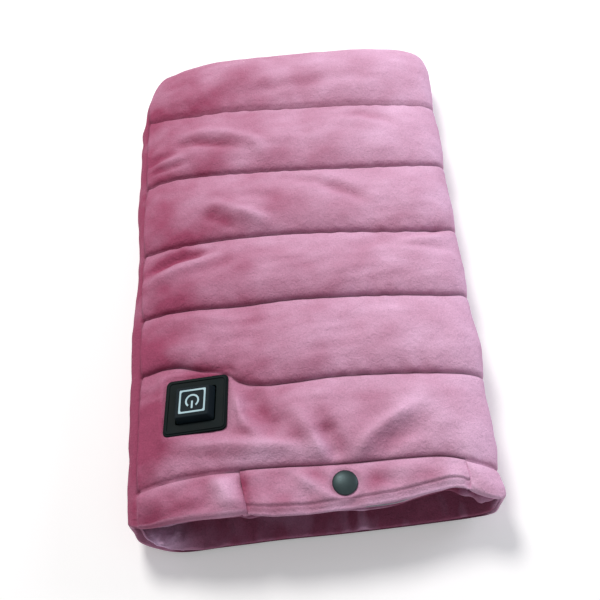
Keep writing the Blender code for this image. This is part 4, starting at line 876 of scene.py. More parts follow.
# Painted shade and light: these marks darken valleys and slopes turned from the light and lighten lit ridges,
# some also giving the pile's own tone.
SHADE_AND_TONE_MARKS = tuple(ShadeAndToneMark(*row) for row in (
    (-37, -174, 6, 9, -0.28), (66, -177, 12, 6, -0.34), (33, -175, 10, 8, -0.3),
    (80, -179, 7, 6, 0.2), (-4, -178, 8, 6, 0.16), (-92, -80, 14, 16, -0.22),
    (-93, -124, 9, 24, -0.24), (-26, -132, 15, 9, -0.13), (42, -128, 16, 8, -0.14),
    (-34, -114, 11, 7, -0.16), (-20, -158, 36, 5, 0.4), (96, -157, 15, 10, 0.36),
    (-5, -147, 10, 8, -0.16), (34, -142, 10, 9, -0.16), (-88, -124, 7, 14, -0.16),
    (-62, -99, 18, 4, -0.2), (70, -18, 22, 8, -0.1), (-96, -178, 10, 14, 0.12),
    (-60, 130, 40, 12, -0.1), (-85, 20, 10, 26, -0.12),
))


@dataclass
class QuiltedCover:
    """Plush cover of front and back panel with its padding: one closed form, folded in at the mouth."""

    form: PouchForm
    quilting: Quilting
    column_spacing: float = 1.35 * MM
    channel_rows: int = 30
    hem_rows: int = 14
    roll_rows: int = 10
    inner_rows: int = 26
    padding_depth: float = 7.3 * MM
    front_depth: float = 4.9 * MM
    back_depth: float = 1.5 * MM
    fold_depth: float = 2.4 * MM
    facing_run: float = 10 * MM
    crown_curve: float = 0.66
    near_steepness: float = 0.86
    side_crown_share: float = 0.2
    back_crown: float = 4.5 * MM
    end_fade: float = 26 * MM
    end_channel: float = 73 * MM
    flat_reach: float = 9 * MM
    stitch_depth: float = 1.5 * MM
    stitch_width: float = 1.2 * MM
    seam_line: float = 0.9 * MM
    undulation: Wave = Wave(0.45 * MM, 42 * MM, 3)
    dimple: Wave = Wave(0.16 * MM, 13 * MM, 7)
    pucker: Wave = Wave(0.35 * MM, 8 * MM, 11)
    pucker_reach: float = 7 * MM
    streak: Wave = Wave(0.2 * MM, 7 * MM, 13)
    streak_patch: Wave = Wave(1, 60 * MM, 17)
    wrap_line: float = -100.4 * MM
    wrap_columns: tuple[float, ...] = (-2.4, -1.6, -0.8, 0, 0.8, 1.6, 2.4)
    wrap_turn: Pair = (-2 * MM, -7 * MM)
    wrap_fade: float = 30 * MM
    wrap_groove: Triple = (-1.3 * MM, -0.4 * MM, 1.0 * MM)
    wrap_ridge: Triple = (0.9 * MM, 1.7 * MM, 1.3 * MM)
    edge_wave: Wave = Wave(0.2 * MM, 14 * MM, 23)
    line_shift: float = 0.5 * MM
    plain_level: float = 1.0 * MM
    table_softness: float = 0.25 * MM
    table_gap: float = 0.02 * MM
    slit_half: float = 0.7 * MM
    slit_dips: tuple[Pair, ...] = ((0.6 * MM, 9 * MM), (1.3 * MM, 2.2 * MM))
    back_hem_crown: float = 0.8 * MM
    hem_waves: tuple[Wave, Wave] = (Wave(0.35 * MM, 11 * MM, 31), Wave(0.5 * MM, 26 * MM, 37))
    lip_level: float = 7.1 * MM
    lip_floor: float = 8.5 * MM
    lip_roll: float = 0.8 * MM
    pocket_start: float = -166.5 * MM
    pocket_end: float = -32.2 * MM
    roof_end: float = -163.6 * MM
    roof_height: float = 40.5 * MM
    roof_cover: float = 3.1 * MM
    pocket_room: Pair = (0.6 * MM, 0.3 * MM)
    bag_floor: float = 28.4 * MM
    switch_centre: Pair = (-65.7 * MM, -121 * MM)
    seat_height: float = 45.16 * MM
    seat_tilt: float = math.radians(5)
    seat_half: Pair = (18.9 * MM, 18.6 * MM)
    seat_blend: float = 7 * MM
    bank: Triple = (1.3 * MM, 2.0 * MM, 1.8 * MM)
    well_half: Pair = (15.9 * MM, 14.9 * MM)
    well_drop: float = 5.9 * MM
    well_slope: float = 1.2 * MM
    lay_waves: tuple[Wave, Wave] = (Wave(0.06, 30 * MM, 51), Wave(0.02, 9 * MM, 53))
    full_crease: float = 3 * MM
    corner_run: Pair = (-76 * MM, -88 * MM)
    corner_top: float = 26 * MM
    corner_start: float = -176 * MM
    shade_left: Pair = (-90 * MM, -76 * MM)
    shade_right: Pair = (94 * MM, 104 * MM)
    strip_blend: float = 2 * MM
    slit_highlight: Pair = (-50 * MM, 7 * MM)
    slit_highlight_run: Pair = (-164 * MM, -170 * MM)
    share: Grid = field(init=False, repr=False)
    front: Grid = field(init=False, repr=False)
    shading: Grid = field(init=False, repr=False)
    hem_shading: Grid = field(init=False, repr=False)

    def __post_init__(self) -> None:
        """Lay out the columns, with one at each side of the pocket's slits."""
        left, right = self.form.pocket_left, self.form.pocket_right
        edges = (left - self.slit_half, left, left + self.slit_half,
                 right - self.slit_half, right, right + self.slit_half,
                 *(self.wrap_line + step * MM for step in self.wrap_columns))
        self.share, self.front = self.form.ring(self.column_spacing, edges)

    def lip_share(self) -> Grid:
        """How far each column belongs to the pocket's inner lip: 1 between the slits, on the front."""
        x = self.share * self.form.base_half
        half = self.slit_half
        left = smooth_step(self.form.pocket_left - half, self.form.pocket_left + half / 2, x)
        right = smooth_step(self.form.pocket_right - half / 2, self.form.pocket_right + half, x)
        return np.where(self.front, left * (1 - right), 0)

    def channel_profile(self, v: Grid, channel: int) -> Grid:
        """Padding across a channel: a sine to a low power, steeper on the mouth's side."""
        if channel == 0:
            return np.sqrt(1 - np.clip(v, 0, 1) ** 2) * (0.72 + 0.28 * smooth_step(0, 0.35, v))
        if channel == len(self.quilting.seams):
            rising = np.sin(math.pi * np.clip(v * 1.15, 0, 0.5) ** 0.9) ** self.crown_curve
            return rising * (1 - smooth_step(0.35, 1.0, v)) + 0.16 * smooth_step(0.5, 1, v)
        return np.sin(math.pi * np.clip(v, 0, 1) ** self.near_steepness) ** self.crown_curve

    def end_path(self, v: Grid) -> Grid:
        """Share of the last channel's run for a row, slowing down round the closed end."""
        straight = 1 - self.form.end_round / self.end_channel
        turn = np.clip((v - 0.34) / 0.66, 0, 1)
        return np.where(v < 0.34, v / 0.34 * straight, straight + (1 - straight) * np.sin(turn * math.pi / 2))

    def side_fade(self) -> Grid:
        """Padding left towards the folds: full in the middle and a low share at the folds."""
        across = np.abs(self.share) ** 7
        return self.side_crown_share + (1 - self.side_crown_share) * (1 - across)

    def outer_rows(self) -> tuple[Grid, Grid, Grid]:
        """Places along, padding and nearness to a seam for each row of the outer side.

        Returns:
            Three grids of rows by columns, from the first seam to the closed end.
        """
        lines = self.quilting.lines(self.share, self.front, self.form)
        lines.append(np.full(self.share.shape, self.form.half_length))
        even = np.linspace(0, 1, self.channel_rows + 1)
        crowded = 0.5 - 0.5 * np.cos(math.pi * even)
        v = 0.45 * even + 0.55 * crowded
        places, crowns = [], []
        for channel in range(1, len(lines)):
            steps = v if channel < len(lines) - 1 else 0.7 * even + 0.3 * even ** 1.3
            run = self.end_path(steps) if channel == len(lines) - 1 else steps
            rows = lines[channel - 1] + (lines[channel] - lines[channel - 1]) * run[:, None]
            height = np.where(self.front, self.quilting.crowns[channel] * MM, self.back_crown)
            crown = self.channel_profile(steps, channel)[:, None] * height
            first = 0 if channel == 1 else 1
            places.append(rows[first:])
            crowns.append(crown[first:])
        places, crowns = np.concatenate(places), np.concatenate(crowns)
        gaps = [np.abs(places - line) for line in lines[:-1]]
        return places, crowns, np.min(gaps, axis=0)

    def surface(self) -> tuple[Grid, Grid]:
        """Outer side from the first seam to the closed end, and the painted shade in its seams.

        Returns:
            Grid of points, and grid of painted shade.
        """
        y, crown, gap = self.outer_rows()
        base = self.form.points(self.share, y, self.front)
        normals = self.level_normals(base, True)
        off_seam = 1 - bell(gap, self.flat_reach)
        plain = self.strip_share()
        height = crown * self.side_fade()
        height += (self.undulation.at(base) + self.dimple.at(base)) * off_seam
        near_seam = np.exp(-gap / self.pucker_reach) * (1 - bell(gap, self.stitch_width))
        across, streaked = (base * np.array(stretch) for stretch in ((1.0, 0.35, 0.35), (0.22, 1.0, 0.6)))
        height += self.pucker.at(across) * near_seam * (1 - 0.7 * np.abs(self.share) ** 8)
        patches = smooth_step(-0.8, 0.9, self.streak_patch.at(base)) * (1 - np.abs(self.share) ** 6)
        height += self.streak.at(streaked) * off_seam * patches
        height -= self.stitch_depth * bell(gap, self.stitch_width)
        middle = 1 - np.abs(self.share) ** 12
        relief = np.where(self.front, self.quilting.relief(base[..., 0], y), 0) * middle
        height = (height + relief) * (1 - plain) + self.plain_level * plain + self.sides(y)
        before_end = self.form.half_length - y
        faded = height * (0.35 + 0.65 * smooth_step(0, self.end_fade, before_end))
        height = np.where(before_end < self.end_fade, faded, height)
        points = self.seat(base + normals * height[..., None])
        offset = self.share * self.form.base_half - self.wrap_line
        # Painted shade: the seams and the joining seam's line at the left are darkened, as shade in their
        # grooves.
        line = np.where(self.front, bell(offset + self.line_shift, self.seam_line), 0)
        painted_shade = np.maximum(bell(gap, self.seam_line) * (1 - plain), 0.7 * line)
        self.settle(points)
        self.shading = relief * (1 - plain)
        return points, painted_shade

    def strip_share(self) -> Grid:
        """How far each column belongs to the back panel's unquilted edge outside the left seam."""
        line = self.wrap_line / self.form.base_half
        return np.where(self.front, smooth_step(line, line - 0.016, self.share),
                        smooth_step(-0.88, -0.97, self.share))

    def sides(self, y: Grid) -> Grid:
        """Height of the joining seam and the edge outside it at the left, and of the right fold's swell."""
        share = self.share
        offset = share * self.form.base_half - self.wrap_line
        wrap = smooth_line(self.quilting.left_wrap, y) + self.edge_wave.at(np.stack([0 * y, y, 0 * y], -1))
        outside = np.where(self.front, smooth_step(*self.wrap_turn, offset),
                           smooth_step(-0.93, -0.985, share))
        beside = sum(height * bell(offset - place, reach)
                     for height, place, reach in (self.wrap_groove, self.wrap_ridge))
        fades = smooth_step(0, self.wrap_fade, self.form.half_length - y)
        right = smooth_line(self.quilting.right_wrap, y) * smooth_step(0.8, 0.97, share)
        return (wrap * outside + np.where(self.front, beside, 0)) * fades + right

    def settle(self, points: Grid) -> None:
        """Keep the back above the table: what would sink is pressed flat, with soft edges."""
        height = points[..., 2]
        pressed = 0.5 * (height + np.hypot(height, self.table_softness)) + self.table_gap
        points[..., 2] = np.where(self.front, height, pressed)

    def seat(self, points: Grid) -> Grid:
        """Press the flat seat of the switch and its well into the front, with a soft bank round it.

        Args:
            points: Grid of points of the outer side.

        Returns:
            The grid with the seat pressed in.
        """
        x, y, z = points[..., 0], points[..., 1], points[..., 2]
        off_x = np.abs(x - self.switch_centre[0])
        off_y = np.abs(y - self.switch_centre[1])
        out = np.hypot(np.maximum(off_x - self.seat_half[0], 0), np.maximum(off_y - self.seat_half[1], 0))
        plane = self.seat_height - math.tan(self.seat_tilt) * (y - self.switch_centre[1])
        height, place, reach = self.bank
        bank = height * bell(out - place, reach) * (out > 0)
        hold = 1 - smooth_step(0, self.seat_blend, out)
        above = z > self.form.fold_height
        lowered = np.where(above, z + (plane - z) * hold + bank, z)
        well = 1
        for half, off in zip(self.well_half, (off_x, off_y)):
            well = well * (1 - smooth_step(half - self.well_slope, half, off))
        lowered = np.where(above, lowered - self.well_drop * well, lowered)
        return np.stack([x, y, lowered], axis=-1)

    def hem(self, first: Grid) -> tuple[Grid, Grid, Grid, Grid]:
        """Hem, its roll round the mouth's edge and the facing inside, and the pocket's walls.

        Args:
            first: Points of the first seam.

        Returns:
            Inner rows, rolled rows, hem rows and pocket rows, from inside the mouth to the first seam.
        """
        form = self.form
        x = self.share * form.base_half
        lip = self.lip_share()
        mouth = np.where(self.front, smooth_line(self.quilting.front_mouth, x),
                         smooth_line(self.quilting.back_mouth, x))
        seam = self.quilting.lines(self.share, self.front, form)[0]
        fold_fade = 1 - np.abs(self.share) ** 9
        off_slit = np.minimum(np.abs(x - form.pocket_left), np.abs(x - form.pocket_right))
        pressed = sum(depth * bell(off_slit, reach) for depth, reach in self.slit_dips)
        hem_crown = np.where(self.front, self.quilting.crowns[0] * MM - pressed, self.back_hem_crown)
        hem_crown = hem_crown * (0.3 + 0.7 * fold_fade)
        lip_raise = form.lip_raise(x) * lip
        outer_level = hem_crown * (1 - lip) - (self.lip_level - lip_raise) * lip
        side_floor = self.fold_depth + (np.where(self.front, self.front_depth, self.back_depth)
                                        - self.fold_depth) * fold_fade
        inner_level = -(side_floor * (1 - lip) + self.lip_floor * lip)
        depth = np.abs(outer_level - inner_level) / 2
        reach = np.where(lip > 0.5, self.lip_roll, depth * 0.8) * (0.45 + 0.55 * fold_fade)
        edge = mouth + reach
        v = np.linspace(0, 1, self.hem_rows + 1)[:, None]
        rows_y = edge + (np.where(lip > 0.5, self.pocket_start, seam) - edge) * v
        base = form.points(self.share, rows_y, self.front)
        normals = self.level_normals(base)
        profile = self.channel_profile(v, 0)
        lip_slope = 1 - smooth_step(0.25, 0.7, v)
        level = hem_crown * profile * (1 - lip) - (self.lip_level - lip_raise * lip_slope) * lip
        swell = np.sin(np.clip(v * 1.1, 0, 1) * math.pi) ** 0.5 * fold_fade
        level += sum(wave.at(base) for wave in self.hem_waves) * (1 - 0.8 * lip) * swell
        self.hem_shading = np.where(self.front, self.quilting.relief(base[..., 0], rows_y), 0) * (1 - lip)
        level += self.hem_shading * fold_fade
        plain = self.strip_share()
        level = level * (1 - plain) + self.plain_level * plain + self.sides(rows_y) * (1 - lip)
        level -= self.stitch_depth * 0.6 * bell(rows_y - seam, self.stitch_width) * (1 - plain)
        hem = base + normals * level[..., None]
        hem[..., 2] -= form.droop(self.share, rows_y, self.front)
        hem[..., 0] += form.slit_lean(hem[..., 0], hem[..., 1])
        edge_inner = base[0] + normals[0] * inner_level[:, None]
        edge_inner[:, 2] -= form.droop(self.share, rows_y[0], self.front)
        phi = np.linspace(math.pi, 0, self.roll_rows + 1)[:-1, None, None]
        turn = (1 - np.cos(phi)) / 2
        roll = hem[0] + (edge_inner - hem[0]) * turn - np.array([0, 1, 0]) * reach[:, None] * np.sin(phi)
        inner_y = self.inner_path(edge + self.facing_run)
        depths = (self.padding_depth, self.lip_floor, self.padding_depth - self.back_depth,
                  self.padding_depth - self.front_depth)
        inner = form.inner_side(self.share, inner_y, self.front, lip, depths)
        self.settle(roll)
        self.settle(hem)
        return inner, roll, hem, self.pocket_walls(first, lip)

    def level_normals(self, base: Grid, level_end: bool = False) -> Grid:
        """Normals of a grid's points, level at the folds and, where asked, at its last row."""
        normals = ring_normals(base)
        if level_end:
            normals[-1, :, 2] = 0
        normals[:, [0, int(np.sum(self.front)) - 1], 2] = 0
        return normals / np.linalg.norm(normals, axis=-1, keepdims=True)

    def inner_path(self, facing_y: Grid) -> Grid:
        """Places along of the inner rows, from the closed end to the facing's edge."""
        end = self.form.half_length - self.padding_depth
        turn = np.sin(np.linspace(math.pi / 2, 0, 9))[:, None]
        straight_end = self.form.half_length - self.form.end_round
        curved = straight_end + (end - straight_end) * turn + 0 * facing_y
        run = np.linspace(0, 1, self.inner_rows)[1:, None]
        straight = straight_end + (facing_y - straight_end) * run
        return np.concatenate([curved, straight])

    def pocket_walls(self, first: Grid, lip: Grid) -> Grid:
        """Walls of the battery's pocket: along its floor, up at its end and back along its roof.

        Args:
            first: Points of the first seam.
            lip: Share of each column that belongs to the lip.

        Returns:
            Rows of points; outside the pocket they all lie on the first seam.
        """
        form = self.form
        x = self.share * form.base_half
        floor_y = np.linspace(self.pocket_start, self.pocket_end, 11)[1:]
        roof_y = np.linspace(self.pocket_end, self.roof_end, 10)
        gap, least = self.pocket_room
        rows = []
        for place, lower in [(y, True) for y in floor_y] + [(y, False) for y in roof_y]:
            y = np.full(x.shape, place)
            level = form.points(self.share, y, self.front)[..., 2]
            roof = np.minimum(self.roof_height, level - self.roof_cover)
            floor = np.minimum(level - self.lip_level, roof - gap)
            floor = floor + (self.bag_floor - floor) * form.sag(x, y) / form.battery_sag
            height = floor if lower else np.maximum(roof, floor + least)
            rows.append(np.stack([x, y, height], axis=-1))
        walls = np.stack(rows)
        held = (lip > 0.5)[None, :, None]
        return np.where(held, walls, first)

    def pile(self, rows: Grid, count: int,
             parts: tuple[int, int, int]) -> tuple[Grid, Grid]:
        """Pale share of the pile: painted light and sheen across the pouch, on surfaces facing the closed
        end, on rises and at the mouth's rim, painted shade under the mouth and in valleys, the pile's own
        random tone, and the shade-and-tone marks.

        Args:
            rows: All the points of the cover.
            count: Number of rows before the outer side.
            parts: Numbers of rows of the inner side, of the roll and of the hem.

        Returns:
            How far each point lies in the shade under the mouth, and its share of the pale colour, which
            holds painted light and shade and the pile's tone.
        """
        inner, roll, hem = parts
        x, y, z = rows[..., 0], rows[..., 1], rows[..., 2]
        # Painted light: front surfaces facing the closed end, towards the key lamp, are made paler, and those
        # facing the mouth darker.
        face = 0.26 * np.clip(ring_normals(rows)[..., 1], -0.5, 0.22) * (z > FRONT_LEVEL)
        wide, fine = self.lay_waves
        wander = wide.at(rows) + fine.at(rows * np.array([0.6, 1, 1]))
        number = np.arange(len(rows))[:, None]
        rolled = (number >= inner - 2) & (number < inner + roll)
        # Painted sheen: the front's rolled edge at the mouth and the rim at the left corner are made paler,
        # as light and sheen on their fuzzy edges.
        corner = smooth_step(*self.corner_run, x) * np.where(rolled, 1.0, 0.4) * (z < self.corner_top)
        rim = np.where(rolled & self.front, 0.2, 0.0) + 0.34 * corner * (y < self.corner_start)
        under = (number < inner + roll + hem) & ~self.front
        shaded = smooth_step(*self.shade_left, x) * (1 - smooth_step(*self.shade_right, x)) * under
        # Painted light and shade: crease ridges are made paler and valleys darker.
        folds = np.zeros(rows.shape[:2])
        folds[count:] = self.shading
        folds[inner + roll:inner + roll + hem - 1] = self.hem_shading[:-1]
        folds = np.clip(folds / self.full_crease, -1, 1) * 0.16
        strip = -0.12 * smooth_step(self.wrap_line, self.wrap_line - self.strip_blend, x)
        shade_and_tone = sum(mark.shade(rows) for mark in SHADE_AND_TONE_MARKS)
        pale_share = self.form.right_side_light(x) + face + wander + rim - 0.6 * shaded + folds + strip + shade_and_tone
        # Painted highlight: the hem's ridge left of the pocket's slit is made paler.
        place, reach = self.slit_highlight
        by_slit = 0.24 * bell(x - place, reach) * smooth_step(*self.slit_highlight_run, y) * self.front
        return shaded, np.clip(np.clip(pale_share, -0.3, 1) + by_slit, -0.3, 1)

    def build(self, material: Material) -> Object:
        """Join all the rows into the closed cover.

        Args:
            material: Plush of the shell.

        Returns:
            The cover.
        """
        outer, painted_shade = self.surface()
        inner, roll, hem, pocket = self.hem(outer[0])
        inner = zipped(inner[::-1])[::-1]
        outer = zipped(outer)
        joined = np.where(self.lip_share()[None, :, None] > 0.5, hem[-1:], outer[:1])
        rows = np.concatenate([inner, roll, hem[:-1], joined, pocket, outer])
        count = len(rows) - len(outer)
        marks = np.zeros(rows.shape[:2])
        marks[count:] = painted_shade
        shaded, pale_tone_and_light = self.pile(rows, count, (len(inner), len(roll), len(hem)))
        # Painted shade: the seams' shade and the shade under the mouth, both painted in the deeper colour.
        marks = np.maximum(marks * 0.62, 0.8 * shaded)
        piece = add_piece("quilted_cover", rows, material, attributes={"painted_shade": marks, "pale_tone_and_light": pale_tone_and_light})
        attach(piece, "pouch")
        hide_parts("front_shell", "back_shell")
        return piece


@dataclass
class PocketFlap:
    """Outer lip of the pocket: a thin padded strip with a topstitched edge, dimpled round its snap."""

    form: PouchForm
    quilting: Quilting
    columns: int = 170
    top_rows: int = 34
    roll_rows: int = 8
    wall: float = 2.4 * MM
    edge_wall: float = 3.0 * MM
    overlap: float = 0.3 * MM
    start: float = -162.9 * MM
    crown: float = 1.9 * MM
    edge: Picks = (
        (-41, -188.4), (-36, -189.6), (-24, -190.8), (-8.7, -191.2), (8, -190.9), (25.6, -189.8),
        (47, -187.8), (64, -184.9), (80, -182.8), (86, -184.2))
    curl: float = 2.4 * MM
    curl_run: float = 7 * MM
    topstitch_setback: float = 5.2 * MM
    stitch: float = 0.7 * MM
    crown_run: float = 9 * MM
    waves: tuple[Wave, Wave] = (Wave(0.3 * MM, 12 * MM, 61), Wave(0.35 * MM, 28 * MM, 67))
    wave_start: float = 5 * MM
    end_dip: Triple = (1.3 * MM, 2.4 * MM, 4 * MM)
    seat_bank: Triple = (0.5 * MM, 2 * MM, 1.4 * MM)
    seat_blend: float = 4 * MM
    thick_run: Pair = (8 * MM, 1 * MM)
    under_level: float = 40.6 * MM
    seam_line: float = 0.4 * MM
    cap_inset: float = 0.25 * MM
    cap_reach: float = 0.3 * MM
    lay_wave: Wave = Wave(0.07, 20 * MM, 71)
    full_crease: float = 2 * MM
    edge_run: float = 3 * MM
    snap_centre: Pair = (17.6 * MM, -176.2 * MM)
    seat_radius: float = 7.6 * MM
    seat_height: float = 45.35 * MM
    creases: tuple[Crease, ...] = (
        Crease(RIDGE, ((-13, -165.5), (-4.5, -174), (5, -181), (14, -185)), 3.2, 1.5),
        Crease(VALLEY, ((-2, -167), (5, -171), (10, -176)), 3.0, 1.2),
        Crease(VALLEY, ((-41, -165), (-40.5, -176), (-40, -188)), 3.4, 1.8),
        Crease(VALLEY, ((-30, -172), (-22, -178), (-10, -184)), 4.0, 0.7),
        Crease(RIDGE, ((40, -168), (56, -172), (72, -171)), 4.0, 0.5),
        Crease(VALLEY, ((28, -170), (38, -176), (54, -178)), 3.4, 0.6),
        Crease(VALLEY, ((84, -173), (85, -178), (85.5, -184)), 1.4, 0.7),
    )

    def build(self, material: Material) -> Object:
        """Make the strip: its top from seam to edge, round the edge and back under it.

        Args:
            material: Plush of the shell.

        Returns:
            The flap.
        """
        form = self.form
        x = np.linspace(form.pocket_left - self.overlap, form.pocket_right + self.overlap, self.columns)
        share = x / form.base_half
        edge = smooth_line(self.edge, x)
        seam = smooth_line(self.quilting.seams[0], x)
        start = np.minimum(seam, self.start)
        reach = self.edge_wall / 2
        v = (0.5 - 0.5 * np.cos(np.linspace(0, math.pi, self.top_rows))) * 0.5 + 0.5 * np.linspace(
            0, 1, self.top_rows)
        y = start + (edge + reach - start) * v[:, None]
        base = form.points(share, y, np.array(True))
        depth, from_seam = y - edge, start - y
        level = self.crown * np.sin(np.clip(from_seam / self.crown_run, 0, 1) * math.pi / 2) ** 0.6
        level += sum(crease.lift(base[..., 0], y) for crease in self.creases)
        level += sum(wave.at(base) for wave in self.waves) * smooth_step(0, self.wave_start, from_seam)
        level -= self.curl * smooth_step(self.curl_run, 0, depth)
        stitch = bell(depth - self.topstitch_setback, self.stitch)
        level -= self.stitch * stitch
        off_end = np.minimum(x - form.pocket_left, form.pocket_right - x)
        dip, reach_in, dip_start = self.end_dip
        level -= dip * bell(off_end, reach_in) * smooth_step(0, dip_start, from_seam)
        top = base.copy()
        top[..., 0] += form.slit_lean(base[..., 0], y)
        top[..., 2] += level
        away = np.hypot(base[..., 0] - self.snap_centre[0], y - self.snap_centre[1]) - self.seat_radius
        bank, bank_place, bank_reach = self.seat_bank
        hold = 1 - smooth_step(0, self.seat_blend, away)
        top[..., 2] += (self.seat_height - top[..., 2]) * hold + bank * bell(away - bank_place, bank_reach)
        thick = self.wall + (self.edge_wall - self.wall) * smooth_step(*self.thick_run, depth)
        under = top.copy()
        under[..., 2] -= thick
        low = self.under_level
        under[..., 2] = np.maximum(under[..., 2], low + (under[..., 2] - low) * 0.3)
        phi = np.linspace(0, math.pi, self.roll_rows + 2)[1:-1, None, None]
        ends = top[-1] + (under[-1] - top[-1]) * (1 - np.cos(phi)) / 2
        roll = ends - np.array([0, 1, 0]) * reach * np.sin(phi)
        loop = np.concatenate([top[::-1], under, roll[::-1]])
        # Painted shade: the topstitch line and the seam at the flap's root are darkened, as shade in their
        # grooves.
        painted_shade = np.concatenate([stitch[::-1] * 0.55, 0 * stitch, np.zeros(roll.shape[:2])])
        at_seam = np.abs(loop[..., 1] - np.max(loop[..., 1], axis=0)) < self.seam_line
        painted_shade += np.where(at_seam, 0.6, 0)
        sides = []
        for end, side in ((loop[:, :1], -1), (loop[:, -1:], 1)):
            cap = end.mean(axis=0, keepdims=True) + 0 * end
            inset = end + (cap - end) * 0.25 + side * np.array([self.cap_inset, 0, 0])
            sides.append((cap + side * np.array([self.cap_reach, 0, 0]), inset))
        (left_cap, left_inset), (right_cap, right_inset) = sides
        loop = np.concatenate([left_cap, left_inset, loop, right_inset, right_cap], axis=1)
        painted_shade = np.pad(painted_shade, ((0, 0), (2, 2)), mode="edge")
        pale_tone_and_light = form.right_side_light(loop[..., 0]) + self.lay_wave.at(loop)
        # Painted light and shade: the flap's crease ridges are made paler and its valleys darker.
        folds = sum(crease.lift(loop[..., 0], loop[..., 1]) for crease in self.creases)
        pale_tone_and_light += 0.3 * np.clip(folds / self.full_crease, -1, 1)
        pale_tone_and_light += sum(mark.shade(loop) for mark in SHADE_AND_TONE_MARKS)
        # Painted sheen: the flap's front edge is made paler, as sheen on its fuzzy roll.
        pale_tone_and_light += 0.25 * smooth_step(self.edge_run, 0, loop[..., 1] - np.pad(edge, 2, mode="edge"))
        piece = add_piece("pocket_flap_cover", loop, material, False, True,
                          {"painted_shade": painted_shade, "pale_tone_and_light": np.clip(pale_tone_and_light, -0.3, 1)})
        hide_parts("pocket_flap")
        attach(piece, "flap")
        return piece


